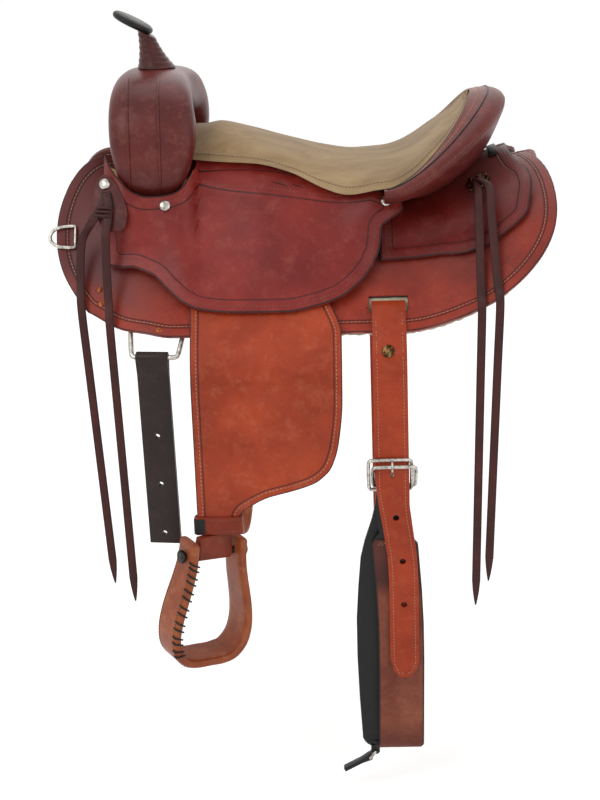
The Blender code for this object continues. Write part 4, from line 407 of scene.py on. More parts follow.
stirrupStrapLeather = leather("stirrupStrapLeather", "#702a16", "#953a20", "#b05f47", rub=0.4)
rosetteLeather = leather("rosetteLeather", "#4a1a18", "#642a27", "#8a5650", rub=0.5, patch=0.03)
groundLeather = leather("groundSeatLeather", "#6b4e36", "#8a6648", "#a5876a", rub=0.3, coat=0.0,
                        roughness=0.75)


# roughout suede, buffed: a pale tan nap that lies in brushed patches, with no shine and soft
# fibres; the fibres are drawn 1.5 mm long so that they show
def suede(name, deep, base, pale, shade):
    mat, tree, shader, place = newMaterial(name)
    drift = addNode(tree, "Mapping", {"Scale": (6.0, 14.0, 10.0)}, place)
    brushed = addNode(tree, "TexNoise", {"Scale": 1.6, "Detail": 7.0, "Roughness": 0.65,
                                         "Distortion": 0.6}, {"Vector": drift.outputs["Vector"]})
    nap = addNode(tree, "ValToRGB", {"stops": ((0.30, deep), (0.52, base), (0.74, pale))},
                  {"Fac": brushed.outputs["Fac"]})
    fibres = addNode(tree, "TexNoise", {"Scale": 1 / 0.0015, "Detail": 3.0, "Roughness": 0.8},
                     place)
    fleck = addNode(tree, "ValToRGB", {"stops": ((0.35, 0.30), (0.65, 0.0))},
                    {"Fac": fibres.outputs["Fac"]})
    toneAndShading = addNode(tree, "Attribute", {"attribute_name": "toneAndShading"})
    colour = nap.outputs["Color"]
    for factor, tint in ((fleck.outputs["Color"], deep), (toneAndShading.outputs["Fac"], shade)):
        colour = addNode(tree, "Mix", {"data_type": "RGBA", 7: toLinear(tint)},
                         {0: factor, 6: colour}).outputs[2]
    bump = addNode(tree, "Bump", {"Strength": 0.5, "Distance": 0.0003},
                   {"Height": fibres.outputs["Fac"]})
    finished(tree, shader, colour, bump, {"Roughness": 0.95, "Specular IOR Level": 0.2,
                                          "Sheen Weight": 0.25, "Sheen Roughness": 0.5})
    return mat


seatSuede = suede("buffedSeatSuede", "#8a7150", "#a98c66", "#bea37c", "#7d6349")


# natural sheared wool on the hide: cream curls about 5 mm across, greyer down between them
def sheepskin(name):
    mat, tree, shader, place = newMaterial(name)
    curls = addNode(tree, "TexVoronoi", {"Scale": 1 / 0.0055, "feature": "SMOOTH_F1"}, place)
    cream = addNode(tree, "ValToRGB",
                    {"stops": ((0.15, "#efe6cf"), (0.60, "#d9cba8"), (0.95, "#a8946e"))},
                    {"Fac": curls.outputs["Distance"]})
    soil = addNode(tree, "TexNoise", {"Scale": 14.0, "Detail": 5.0}, place)
    stain = addNode(tree, "ValToRGB", {"stops": ((0.50, 0.0), (0.75, 0.45))},
                    {"Fac": soil.outputs["Fac"]})
    strands = addNode(tree, "TexNoise", {"Scale": 1 / 0.0018, "Detail": 4.0}, place)
    height = addNode(tree, "Math", {"operation": "SUBTRACT"},
                     {0: strands.outputs["Fac"], 1: curls.outputs["Distance"]})
    bump = addNode(tree, "Bump", {"Strength": 0.9, "Distance": 0.0015},
                   {"Height": height.outputs[0]})
    soiled = addNode(tree, "Mix", {"data_type": "RGBA", 7: toLinear("#b7a47c")},
                     {0: stain.outputs["Color"], 6: cream.outputs["Color"]})
    finished(tree, shader, soiled.outputs[2], bump, {"Roughness": 0.95, "Sheen Weight": 0.4})
    return mat


fleeceWool = sheepskin("shearedSheepskin")


# Bent and tumbled stainless wire, hammered copper, blackened steel, and cast bronze with black
# wax left in its hollows: fine scratches and cloudy roughness keep the shine from looking like a
# mirror. The scratches are drawn 1 mm wide so that they show.
def metal(name, bright, dull, roughness, clouded):
    mat, tree, shader, place = newMaterial(name)
    cloud = addNode(tree, "TexNoise", {"Scale": 1 / 0.006, "Detail": 5.0, "Roughness": 0.7},
                    place)
    patina = addNode(tree, "ValToRGB", {"stops": ((0.50 - clouded, dull), (0.60, bright))},
                     {"Fac": cloud.outputs["Fac"]})
    shine = addNode(tree, "MapRange", {"To Min": roughness + 0.14, "To Max": roughness - 0.06},
                    {"Value": cloud.outputs["Fac"]})
    tree.links.new(shine.outputs["Result"], shader.inputs["Roughness"])
    scratch = addNode(tree, "TexNoise", {"Scale": 1 / 0.001, "Detail": 2.0}, place)
    bump = addNode(tree, "Bump", {"Strength": 0.2, "Distance": 0.0001},
                   {"Height": scratch.outputs["Fac"]})
    finished(tree, shader, patina.outputs["Color"], bump, {"Metallic": 1.0})
    return mat


stainlessWire = metal("tumbledStainlessWire", "#d5d0c8", "#8f8a82", 0.26, 0.12)
copperRivet = metal("hammeredCopperRivet", "#b0643c", "#6e3a22", 0.34, 0.06)
blackenedBolt = metal("blackenedBoltSteel", "#4a4744", "#1d1b1a", 0.42, 0.10)
agedBronze = metal("castAgedBronze", "#a07c50", "#3c2a1a", 0.36, 0.02)


# kiln-dried beech under rawhide: pale, with long 3 mm growth lines and no gloss
def treeTimber(name):
    mat, tree, shader, place = newMaterial(name)
    along = addNode(tree, "Mapping", {"Scale": (3.0, 60.0, 60.0)}, place)
    rings = addNode(tree, "TexNoise", {"Scale": 5.0, "Detail": 6.0},
                    {"Vector": along.outputs["Vector"]})
    hue = addNode(tree, "ValToRGB", {"stops": ((0.35, "#b08c5c"), (0.65, "#cfb083"))},
                  {"Fac": rings.outputs["Fac"]})
    bump = addNode(tree, "Bump", {"Strength": 0.3, "Distance": 0.0004},
                   {"Height": rings.outputs["Fac"]})
    finished(tree, shader, hue.outputs["Color"], bump, {"Roughness": 0.7})
    return mat


beechTree = treeTimber("rawhideCoveredBeech")


# waxed linen thread, three cord: a dull pale line whose twist, about 1 mm, shows as light and dark
def thread(name, pale, dark):
    mat, tree, shader, place = newMaterial(name)
    twist = addNode(tree, "TexNoise", {"Scale": 1 / 0.001, "Detail": 2.0}, place)
    hue = addNode(tree, "ValToRGB", {"stops": ((0.35, dark), (0.65, pale))},
                  {"Fac": twist.outputs["Fac"]})
    bump = addNode(tree, "Bump", {"Strength": 0.5, "Distance": 0.0003},
                   {"Height": twist.outputs["Fac"]})
    finished(tree, shader, hue.outputs["Color"], bump, {"Roughness": 0.75})
    return mat


paleThread = thread("waxedLinenThread", "#cda78b", "#9a6c55")
rustThread = thread("waxedRustThread", "#a0604c", "#6d3226")
tanThread = thread("waxedTanThread", "#8a755d", "#6b5742")
print("materials mixed")


# ways of making a mesh

def setMarks(mesh, name, values):
    mark = mesh.attributes.new(name, "FLOAT", "POINT")
    mark.data.foreach_set("value", values)


# puts a mesh in the scene as a piece of the saddle
def addPiece(name, mesh, finishes, body, stands=()):
    thing = linked(name, mesh)
    for finish in finishes if isinstance(finishes, (list, tuple)) else (finishes,):
        mesh.materials.append(finish)
    for mark, value in (("rim", 1.0), ("toneAndShading", 0.0)):
        if mark not in mesh.attributes:
            setMarks(mesh, mark, [value] * len(mesh.vertices))
    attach(thing, body)
    if stands:
        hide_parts(*stands)
    return thing


# drops loose points, turns every face outward and smooths all but the sharp edges
def settled(mesh, sharp=50):
    bm = bmesh.new()
    bm.from_mesh(mesh)
    bmesh.ops.delete(bm, geom=[v for v in bm.verts if not v.link_faces], context="VERTS")
    bmesh.ops.recalc_face_normals(bm, faces=bm.faces)
    bm.to_mesh(mesh)
    bm.free()
    mesh.shade_smooth()
    if sharp:
        mesh.set_sharp_from_angle(angle=math.radians(sharp))
    return mesh


def meshOf(name, verts, faces, sharp=None, turned=False, faceFinish=None):
    mesh = bpy.data.meshes.new(name)
    mesh.from_pydata(verts, [], faces)
    if faceFinish:
        mesh.polygons.foreach_set("material_index", faceFinish)
    if not turned:
        return settled(mesh, sharp)
    mesh.shade_smooth()
    return mesh


# the four corners of a grid's cell, in order round it
def cell(i, j, cols):
    return i * cols + j, (i + 1) * cols + j, (i + 1) * cols + j + 1, i * cols + j + 1


# faces of a closed shell between two grids of points, the second numbered after the first
def shellFaces(rows, cols):
    total = rows * cols
    faces = []
    for i in range(rows - 1):
        for j in range(cols - 1):
            a, b, c, d = cell(i, j, cols)
            faces += [(a, b, c, d), (a + total, d + total, c + total, b + total)]
    rim = [(i, 0) for i in range(rows)] + [(rows - 1, j) for j in range(1, cols)]
    rim += [(i, cols - 1) for i in range(rows - 2, -1, -1)]
    rim += [(0, j) for j in range(cols - 2, 0, -1)]
    rim = [i * cols + j for i, j in rim]
    return faces + [(a, a + total, b + total, b) for a, b in zip(rim, rim[1:] + rim[:1])]


# a mesh as an object's modifiers leave it; the object and its helpers go
def applied(thing, helpers=()):
    seen = thing.evaluated_get(bpy.context.evaluated_depsgraph_get())
    result = bpy.data.meshes.new_from_object(seen)
    for spent in (*helpers, thing):
        bpy.data.objects.remove(spent, do_unlink=True)
    return result


def linked(name, mesh):
    thing = bpy.data.objects.new(name, mesh)
    bpy.context.collection.objects.link(thing)
    return thing


def surfaceOf(mesh):
    bm = bmesh.new()
    bm.from_mesh(mesh)
    tree = BVHTree.FromBMesh(bm)
    bm.free()
    return tree


def nearTree(points):
    tree = KDTree(len(points))
    for i, p in enumerate(points):
        tree.insert(p, i)
    tree.balance()
    return tree


# shares along a sheet's side, close together near its cut edges
def lipSteps(length, step, lips=(0.0, 0.0005, 0.0013, 0.0028), ends=(True, True)):
    first = list(lips) if ends[0] else [0.0]
    last = [length - d for d in reversed(lips)] if ends[1] else [length]
    gap = last[0] - first[-1]
    count = max(int(gap / step), 1)
    stops = first + [first[-1] + gap * k / count for k in range(1, count)] + last
    return [d / length for d in stops]


def roundOver(distance, radius=0.0015):
    if distance >= radius:
        return 0.0
    return radius - math.sqrt(max(radius ** 2 - (radius - distance) ** 2, 0.0))


# A leather sheet between its face and its flesh side. place(a, b, h) gives the point at shares
# a down and b along, h out from the flesh side; shape lifts the face by how far in from the edge
# it is. Cells that keep() refuses are left out. The outline runs down, along, up and back.
def leatherSheet(name, place, down, along, thick, keep=None, shape=None, edges="lbrt",
                 edgeHere=None):
    rows, cols = len(down), len(along)
    face = [place(a, b, thick) for a in down for b in along]
    flesh = [place(a, b, 0.0) for a in down for b in along]
    total = rows * cols
    runs = {"l": [face[i * cols] for i in range(rows)],
            "b": [face[(rows - 1) * cols + j] for j in range(cols)],
            "r": [face[i * cols + cols - 1] for i in range(rows - 1, -1, -1)],
            "t": [face[j] for j in range(cols - 1, -1, -1)]}
    outline = []
    for key in "lbrt":
        if key in edges:
            run = [p for p in runs[key] if edgeHere is None or edgeHere(key, p)]
            joined = outline and run and (run[0] - outline[-1]).length < 0.0001
            outline += run[1:] if joined else run
    rim = rimDistances(face, outline)
    n = 0
    for a in down:
        for b in along:
            lift = shape(rim[n], a, b) if shape else 0.0
            face[n] = place(a, b, thick - roundOver(rim[n]) + lift)
            n += 1
    kept = [[keep is None or keep((down[i] + down[i + 1]) / 2, (along[j] + along[j + 1]) / 2)
             for j in range(cols - 1)] for i in range(rows - 1)]
    faces = []
    for i in range(rows - 1):
        for j in range(cols - 1):
            if not kept[i][j]:
                continue
            a, b, c, d = cell(i, j, cols)
            faces += [(a, b, c, d), (a + total, d + total, c + total, b + total)]
            for p, q, k, m in ((a, b, i, j - 1), (b, c, i + 1, j), (c, d, i, j + 1),
                               (d, a, i - 1, j)):
                if not (0 <= k < rows - 1 and 0 <= m < cols - 1 and kept[k][m]):
                    faces.append((q, p, p + total, q + total))
    mesh = bpy.data.meshes.new(name)
    mesh.from_pydata(face + flesh, [], faces)
    setMarks(mesh, "rim", rim + [1.0] * total)
    return settled(mesh), outline


def rimDistances(points, outline):
    tree = nearTree([p for p, _ in walked(outline, 0.0015)])
    return [tree.find(p)[2] for p in points]


# a line that runs a set distance inside an outline, on the leather's face
def insideLine(outline, mesh, distance):
    tree = surfaceOf(mesh)
    spots = walked(outline, 0.002)
    edge = nearTree([p for p, _ in spots])
    middle = sum((p for p, _ in spots), Vector()) / len(spots)
    aside = []
    for i, (p, _) in enumerate(spots):
        along = (spots[min(i + 4, len(spots) - 1)][0] - spots[max(i - 4, 0)][0]).normalized()
        normal = tree.find_nearest(p.lerp(middle, 0.02))[1]
        aside.append((p, normal, normal.cross(along).normalized()))
    turn = 1 if sum(inward.dot(middle - p) for p, normal, inward in aside) > 0 else -1
    line = []
    for p, normal, inward in aside:
        spot, face, _, _ = tree.find_nearest(p + inward * turn * distance + normal * 0.002)
        if spot is not None and edge.find(spot)[2] > distance * 0.94:
            line.append((spot, face))
    return line


# a row of saddle stitches along (point, normal) pairs, each a rounded grain of thread lying in
# its hole at a slight slant, as an awl and two needles leave it
stitch = {"spacing": 0.0052, "length": 0.0036, "thick": 0.0010, "slant": 0.22, "sink": 0.25}


def stitchRow(name, line, finish, body, **changes):
    size = {**stitch, **changes}
    half = size["thick"] * 0.5
    points = [p for p, _ in line]
    tree = nearTree(points)
    verts, faces = [], []
    for p, along in walked(points, size["spacing"], size["spacing"]):
        if tree.find(p)[2] > size["spacing"]:
            continue
        normal = line[tree.find(p)[1]][1]
        aside = normal.cross(along).normalized()
        along = (along + aside * size["slant"]).normalized()
        aside = normal.cross(along).normalized()
        start = len(verts)
        for t, full in ((-0.5, 0.35), (-0.28, 1.0), (0.28, 1.0), (0.5, 0.35)):
            for k in range(6):
                a = math.pi * k / 3
                verts.append(p + along * size["length"] * t - normal * half * size["sink"]
                             + (aside * math.cos(a) + normal * math.sin(a)) * half * full)
        for ring in range(3):
            for k in range(6):
                m = (k + 1) % 6
                a, b = start + ring * 6, start + ring * 6 + 6
                faces.append((a + k, a + m, b + m, b + k))
        faces.append(tuple(start + k for k in range(5, -1, -1)))
        faces.append(tuple(start + 18 + k for k in range(6)))
    if not faces:
        return None
    return addPiece(name, meshOf(name, verts, faces, turned=True), finish, body)


# a solid skinned over rings of points; wrap joins the last ring to the first
def skinned(name, rings, wrap=False, sharp=None):
    count = len(rings[0])
    verts = [p for ring in rings for p in ring]
    faces = []
    pairs = list(zip(range(len(rings)), range(1, len(rings))))
    if wrap:
        pairs.append((len(rings) - 1, 0))
    for a, b in pairs:
        for k in range(count):
            m = (k + 1) % count
            faces.append((a * count + k, a * count + m, b * count + m, b * count + k))
    if not wrap:
        faces.append(tuple(range(count - 1, -1, -1)))
        faces.append(tuple(range(len(verts) - count, len(verts))))
    return meshOf(name, verts, faces, sharp=sharp)


# points round an ellipse, from first towards second
def ringAround(centre, first, second, sides):
    return [centre + first * math.cos(a) + second * math.sin(a)
            for a in (2 * math.pi * k / sides for k in range(sides))]


# points round a rounded rectangle, squarer with a higher power
def squaredRing(centre, first, second, power, sides, start=0.0):
    ring = []
    for k in range(sides):
        a = 2 * math.pi * (k + start) / sides
        c, s = math.cos(a), math.sin(a)
        corner = (abs(c) ** power + abs(s) ** power) ** (-1 / power)
        ring.append(centre + first * c * corner + second * s * corner)
    return ring


# round wire or cord along a line; sizes may give each place its own radius
def wire(name, points, radius, sides=12, wrap=False, sizes=None):
    rings, count, frameUp = [], len(points), None
    for i, p in enumerate(points):
        if wrap:
            along = (points[(i + 1) % count] - points[i - 1]).normalized()
        else:
            along = (points[min(i + 1, count - 1)] - points[max(i - 1, 0)]).normalized()
        if frameUp is None:
            frameUp = along.orthogonal().normalized()
        aside = along.cross(frameUp).normalized()
        frameUp = aside.cross(along).normalized()
        r = radius * (sizes[i] if sizes else 1.0)
        rings.append(ringAround(p, aside * r, frameUp * r, sides))
    return skinned(name, rings, wrap=wrap)


# a thong or strap's section: flat, with rolled edges
def strapSection(width, thick, bevel=0.3):
    w, h = width / 2, thick / 2
    r = min(bevel * thick, h * 0.98)
    section = []
    for cx, cy, start in ((1, 1, 0), (-1, 1, 90), (-1, -1, 180), (1, -1, 270)):
        for k in range(3):
            a = math.radians(start + 45 * k)
            section.append((cx * (w - r) + r * math.cos(a), cy * (h - r) + r * math.sin(a)))
        if cx == cy:
            section.append((0.0, cy * h))
    return section


# a strap along a line, its width lying fore and aft
def strapAlong(name, points, widths, thicks):
    rings, count, rim, across = [], len(points), [], Vector((1, 0, 0))
    for i, p in enumerate(points):
        along = (points[min(i + 1, count - 1)] - points[max(i - 1, 0)]).normalized()
        wide = (across - along * across.dot(along)).normalized()
        normal = along.cross(wide)
        section = strapSection(widths[i], thicks[i])
        rings.append([p + wide * a + normal * b for a, b in section])
        rim += [widths[i] / 2 - abs(a) for a, b in section]
    mesh = skinned(name, rings)
    setMarks(mesh, "rim", [max(r, 0.0) for r in rim])
    return mesh


# the CAD node's own solid with its edges rolled, for a piece whose shape is right
def dressed(name, node, bevel=0.0008, segments=2, angle=30):
    bm = bmesh.new()
    bm.from_mesh(nodes[node].data)
    bmesh.ops.transform(bm, matrix=nodes[node].matrix_world, verts=bm.verts)
    bmesh.ops.remove_doubles(bm, verts=bm.verts, dist=0.00001)
    bmesh.ops.dissolve_limit(bm, angle_limit=math.radians(1.0), verts=bm.verts, edges=bm.edges)
    sharp = [e for e in bm.edges if len(e.link_faces) == 2
             and e.calc_face_angle(0) > math.radians(angle)]
    bmesh.ops.bevel(bm, geom=sharp, offset=bevel, segments=segments, affect="EDGES",
                    profile=0.5, clamp_overlap=True)
    mesh = bpy.data.meshes.new(name)
    bm.to_mesh(mesh)
    bm.free()
    mesh.shade_smooth()
    mesh.set_sharp_from_angle(angle=math.radians(35))
    return mesh


# adds a piece that is its solid with the edges rolled
def addDressed(name, node, finish, body, finishSlot=None, **edges):
    return addPiece(name, dressed(name, node, **edges), finish, body, [node])


# cuts shapes out of a mesh and gives back the new mesh
def cutOut(mesh, cutters):
    thing = linked("toCut", mesh)
    helpers = []
    for cutter in cutters:
        helper = linked("cutter", cutter)
        cut = thing.modifiers.new("cut", "BOOLEAN")
        cut.operation, cut.object, cut.solver = "DIFFERENCE", helper, "EXACT"
        helpers.append(helper)
    result = applied(thing, helpers)
    result.materials.clear()
    return result


def rod(start, end, radius, sides=16):
    axis = (end - start).normalized()
    first = axis.orthogonal().normalized()
    second = axis.cross(first)
    if abs(second.z) > abs(first.z):
        first, second = second, first
    return skinned("rod", [ringAround(p, first * radius, second * radius, sides)
                           for p in (start, end)])


# the off side's twin of a near side mesh
def mirrored(mesh, name):
    twin = mesh.copy()
    twin.name = name
    twin.materials.clear()
    twin.transform(Matrix.Diagonal((1, -1, 1, 1)))
    twin.flip_normals()
    return twin


# adds a near side mesh and its twin; names and bodies carry near or off where they have a star
def addPair(name, mesh, finishes, body, stands=()):
    pair = []
    for word, side in sides:
        shape = mesh if side == near else mirrored(mesh, name + word)
        pair.append(addPiece(name + "_" + word, shape, finishes, body.replace("*", word),
                             [node.replace("*", word) for node in stands]))
    return pair


def stitchPair(name, line, finish, body, **sizes):
    first = stitchRow(name + "_near", line, finish, body.replace("*", "near"), **sizes)
    if first:
        addPiece(name + "_off", mirrored(first.data, name + "Off"), finish,
                 body.replace("*", "off"))


def paint(mesh, toneAndShading):
    values = [min(max(toneAndShading(v.co), 0.0), 1.0) for v in mesh.vertices]
    if "toneAndShading" in mesh.attributes:
        mesh.attributes["toneAndShading"].data.foreach_set("value", values)
    else:
        setMarks(mesh, "toneAndShading", values)


# the CAD node's own solid made round all over, for wire and domed metal; push makes up what
# the smoothing takes off
def rounded(name, node, push):
    bm = bmesh.new()
    bm.from_mesh(nodes[node].data)
    bmesh.ops.transform(bm, matrix=nodes[node].matrix_world, verts=bm.verts)
    bmesh.ops.remove_doubles(bm, verts=bm.verts, dist=0.00001)
    bmesh.ops.join_triangles(bm, faces=bm.faces, angle_face_threshold=math.radians(4),
                             angle_shape_threshold=math.radians(60))
    mesh = bpy.data.meshes.new(name)
    bm.to_mesh(mesh)
    bm.free()
    thing = linked("toRound", mesh)
    thing.modifiers.new("round", "SUBSURF").levels = 2
    result = applied(thing)
    normals = [v.normal.copy() for v in result.vertices]
    for v, normal in zip(result.vertices, normals):
        v.co += normal * push
    result.shade_smooth()
    return result


def addWire(name, node, body, push=0.0002):
    addPiece(name, rounded(name, node, push), stainlessWire, body, [node])


# skirts and fleece

skirt = {"front": -0.317, "rear": 0.343, "depth": 0.249, "frontDrop": 0.012, "frontCorner": 0.078,
         "rearCorner": 0.108, "frontWidest": 0.150, "rearWidest": 0.125, "frontShoulder": 0.072,
         "rearShoulder": 0.028, "seam": 0.0015, "slotDown": 0.2075, "slotX": 0.121,
         "slotHalf": 0.025, "stitchIn": 0.0145, "rearStitchIn": 0.0315, "long": 0.66,
         "pocketX": -0.183, "pocketHalf": 0.050, "pocketDown": 0.200, "woolIn": 0.006}


def endCurve(s, widest, bottom, corner, shoulder):
    if s < widest:
        return shoulder * ((widest - s) / widest) ** 2
    return corner * (1 - math.sqrt(max(1 - ((s - widest) / (bottom - widest)) ** 2, 0.0)))


def skirtPlace(share, along, h, setBack=0.0):
    s = share * skirt["depth"]
    front = skirt["front"] + setBack + endCurve(s, skirt["frontWidest"],
                                                skirt["depth"] + skirt["frontDrop"],
                                                skirt["frontCorner"], skirt["frontShoulder"])
    rear = skirt["rear"] - setBack - endCurve(s, skirt["rearWidest"], skirt["depth"],
                                              skirt["rearCorner"], skirt["rearShoulder"])
    x = front + (rear - front) * along
    top = skirt["seam"] + 0.016 * smoothStep((-0.175 - x) / 0.070)
    bottom = skirt["depth"] + skirt["frontDrop"] * smoothStep((-0.185 - x) / 0.060) - setBack
    return backPoint(x, top + (bottom - top) * share, h)


def blockOnBack(x, half, sLow, sHigh, hLow, hHigh):
    rings = []
    for k in range(5):
        s = sLow + (sHigh - sLow) * k / 4
        rings.append([backPoint(x + c * half, s, h)
                      for c, h in ((-1, hLow), (1, hLow), (1, hHigh), (-1, hHigh))])
    return skinned("block", rings)


def makeSkirts():
    def raisedHem(rim, a, b):
        return 0.0004 * (1 - smoothStep((rim - 0.010) / 0.004))

    mesh, outline = leatherSheet("skirt", lambda a, b, h: skirtPlace(a, b, layer["skirtIn"] + h),
                                 lipSteps(skirt["depth"], 0.0045, ends=(False, True)),
                                 lipSteps(skirt["long"], 0.0055), layer["skirt"], edges="lbr",
                                 shape=raisedHem)
    slot = blockOnBack(skirt["slotX"], skirt["slotHalf"], skirt["slotDown"] - 0.008,
                       skirt["slotDown"] + 0.0135, layer["skirtIn"] - 0.003,
                       layer["skirtOut"] + 0.004)
    mesh = settled(cutOut(mesh, [slot]))

    def toneAndShading(p):
        s = downFromSpine(p.x, p.y, layer["skirtOut"])
        # the front and the rear are painted darker
        front = 0.85 * smoothStep((-0.150 - p.x) / 0.085)
        front *= 1 - 0.75 * smoothStep((s - 0.20) / 0.05)
        rear = 0.45 * smoothStep((p.x - 0.20) / 0.14)
        # painted shade along the skirt's top, under the jockeys and the seat
        under = 0.5 * (1 - smoothStep((s - 0.150) / 0.07))
        return max(front, rear, under) + 0.16 * noise.noise(p * 22)

    paint(mesh, toneAndShading)
    addPair("skirtPanel", mesh, skirtLeather, "saddle", ["skirt_*"])
    stitchPair("skirtStitching", insideLine(outline, mesh, skirt["stitchIn"]), paleThread, "saddle",
               thick=0.0012)
    rearLine = [(p, n) for p, n in insideLine(outline, mesh, skirt["rearStitchIn"])
                if p.x > 0.19]
    stitchPair("skirtRearStitching", rearLine, rustThread, "saddle")


def makeFleece():
    # the fleece leaves a pocket open for the rigging ring, and stops short of the skirt's edge
    def keep(a, b):
        aside = abs(skirtPlace(a, b, 0).x - skirt["pocketX"])
        return aside >= skirt["pocketHalf"] or a * skirt["depth"] <= skirt["pocketDown"]

    lips = (0.0, 0.004)
    mesh, _ = leatherSheet("fleece", lambda a, b, h: skirtPlace(a, b, h, skirt["woolIn"]),
                           lipSteps(skirt["depth"], 0.0065, lips=lips, ends=(False, True)),
                           lipSteps(skirt["long"], 0.0065, lips=lips),
                           layer["fleece"] - 0.0006, keep=keep, edges="lbr")
    bm = bmesh.new()
    bm.from_mesh(mesh)
    bmesh.ops.subdivide_edges(bm, edges=bm.edges, cuts=1, use_grid_fill=True)
    bm.normal_update()
    for v in bm.verts:
        s = downFromSpine(v.co.x, v.co.y, 0.007)
        h = (v.co - backPoint(v.co.x, s, 0.0)).length
        outward = 1 - smoothStep((h - 0.010) / 0.003)
        curl = noise.noise(v.co * 120) + 0.6 * noise.noise(v.co * 260 + Vector((7, 3, 1)))
        v.co += v.normal * (0.0016 + 0.0022 * curl) * outward
    bm.to_mesh(mesh)
    bm.free()
    mesh.shade_smooth()
    for pad in addPair("fleeceLining", mesh, fleeceWool, "saddle", ["fleece_*"]):
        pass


makeSkirts()
makeFleece()
print("skirts cut, slotted and stitched over their fleece")


# seat jockeys

jockey = {"front": -0.247, "tab": 0.143, "step": 0.001, "steps": 392, "steepTop": 44.0,
          "steep": 58.0,
          "hem": ((-0.247, 0.187), (-0.225, 0.178), (-0.205, 0.169), (-0.185, 0.171),
                  (-0.165, 0.188), (-0.145, 0.207), (-0.120, 0.219), (-0.080, 0.224),
                  (-0.010, 0.225), (0.030, 0.217), (0.060, 0.206), (0.085, 0.186),
                  (0.106, 0.158)),
          "notchOut": ((-0.247, 0.092), (-0.239, 0.108), (-0.231, 0.118), (-0.222, 0.1260),
                       (-0.215, 0.1295), (-0.205, 0.131), (-0.190, 0.132), (-0.165, 0.131),
                       (-0.150, 0.127), (-0.140, 0.119), (-0.132, 0.104), (-0.124, 0.084)),
          "notchUp": ((-0.247, 0.088), (-0.239, 0.075), (-0.231, 0.065), (-0.222, 0.056),
                      (-0.215, 0.048), (-0.205, 0.041), (-0.190, 0.036), (-0.165, 0.037),
                      (-0.150, 0.041), (-0.140, 0.050), (-0.132, 0.061), (-0.124, 0.068)),
          "rear": ((0.0, 0.143), (0.16, 0.143), (0.34, 0.128), (0.50, 0.115), (0.70, 0.113),
                   (0.85, 0.110), (1.0, 0.103))}
jockeyStitchIn = 0.0085


def jockeyTopEdge(x):
    if x < seat["front"] + 0.013:
        return Vector((x, -through(jockey["notchOut"], x), through(jockey["notchUp"], x)))
    rear = seat["rear"] - 0.012
    v = (min(x, rear) - seat["front"]) / (seat["rear"] - seat["front"]) - 1
    point = underSeat(v, -0.90, layer["fit"] + layer["jockey"])
    tab = smoothStep((x - rear) / (jockey["tab"] - rear))
    return Vector((x, point.y + 0.006 * tab, point.z - 0.013 * tab))


topEdges = [jockeyTopEdge(jockey["front"] + jockey["step"] * k) for k in range(jockey["steps"])]


def jockeyPlace(x, t, h):
    k = min(max((x - jockey["front"]) / jockey["step"], 0), jockey["steps"] - 2)
    start = topEdges[int(k)].lerp(topEdges[int(k) + 1], k - int(k))
    start = Vector((x, start.y, start.z))
    end = backPoint(x, through(jockey["hem"], x), layer["hemIn"])
    length = (end - start).length
    flatter = (jockey["steep"] - jockey["steepTop"]) * smoothStep((x + 0.165) / 0.150)
    steep, low = math.radians(jockey["steep"] - flatter), math.radians(jockey["steep"])
    first = Vector((0, -math.cos(steep), -math.sin(steep)))
    last = Vector((0, -math.cos(low), -math.sin(low)))
    p1, p2 = start + first * length / 3, end - last * length / 3
    point = (start * (1 - t) ** 3 + p1 * 3 * t * (1 - t) ** 2 + p2 * 3 * t * t * (1 - t)
             + end * t ** 3)
    along = (p1 - start) * (1 - t) ** 2 + (p2 - p1) * 2 * t * (1 - t) + (end - p2) * t * t
    along.x = 0
    along.normalize()
    normal = Vector((0, along.z, -along.y))
    if normal.z < 0:
        normal = -normal
    point += normal * h
    return Vector((x, point.y, point.z))


def makeSeatJockeys():
    def place(a, b, h):
        front = jockey["front"]
        return jockeyPlace(front + (through(jockey["rear"], a) - front) * b, a, h)

    def raisedHem(rim, a, b):
        return 0.0009 * (1 - smoothStep((rim - 0.0155) / 0.002))

    def toneAndShading(p):
        front = 0.7 * smoothStep((0.03 - abs(p.x + 0.225)) / 0.05)
        return (front * smoothStep((-0.205 - p.x) / 0.02) + 0.3 * smoothStep((p.x - 0.06) / 0.05)
                + 0.18 * noise.noise(p * 25))

    # the hem's band runs on over the front of the top edge, round the foot of the swell
    mesh, outline = leatherSheet("seatJockey", place, lipSteps(0.17, 0.004),
                                 lipSteps(0.38, 0.0042), layer["jockey"], shape=raisedHem,
                                 edgeHere=lambda key, p: key != "t" or p.x < -0.128)
    paint(mesh, toneAndShading)
    addPair("seatJockeyPanel", mesh, jockeyLeather, "saddle", ["seat_jockey_*"])
    stitchPair("seatJockeyStitching", insideLine(outline, mesh, jockeyStitchIn), rustThread,
               "saddle")


makeSeatJockeys()


# rear jockeys

rearJockey = {"hem": ((0.112, 0.152), (0.150, 0.151), (0.185, 0.154), (0.225, 0.165),
                      (0.245, 0.167), (0.272, 0.160), (0.296, 0.148), (0.311, 0.131)),
              "end": ((0.0, 0.286), (0.35, 0.294), (0.62, 0.309), (0.80, 0.312), (1.0, 0.305)),
              "front": 0.112, "seam": 0.001, "footX": 0.125, "footReach": 0.127,
              "footHalf": 0.088, "lap": 0.009}


# where the cantle's cover meets the rear jockeys
def cantleFoot(angle):
    c, s = math.cos(math.radians(angle)), math.sin(math.radians(angle))
    y = rearJockey["footHalf"] * abs(s) ** 0.8
    return rearJockey["footX"] + rearJockey["footReach"] * max(c, 0.0), -y if s < 0 else y


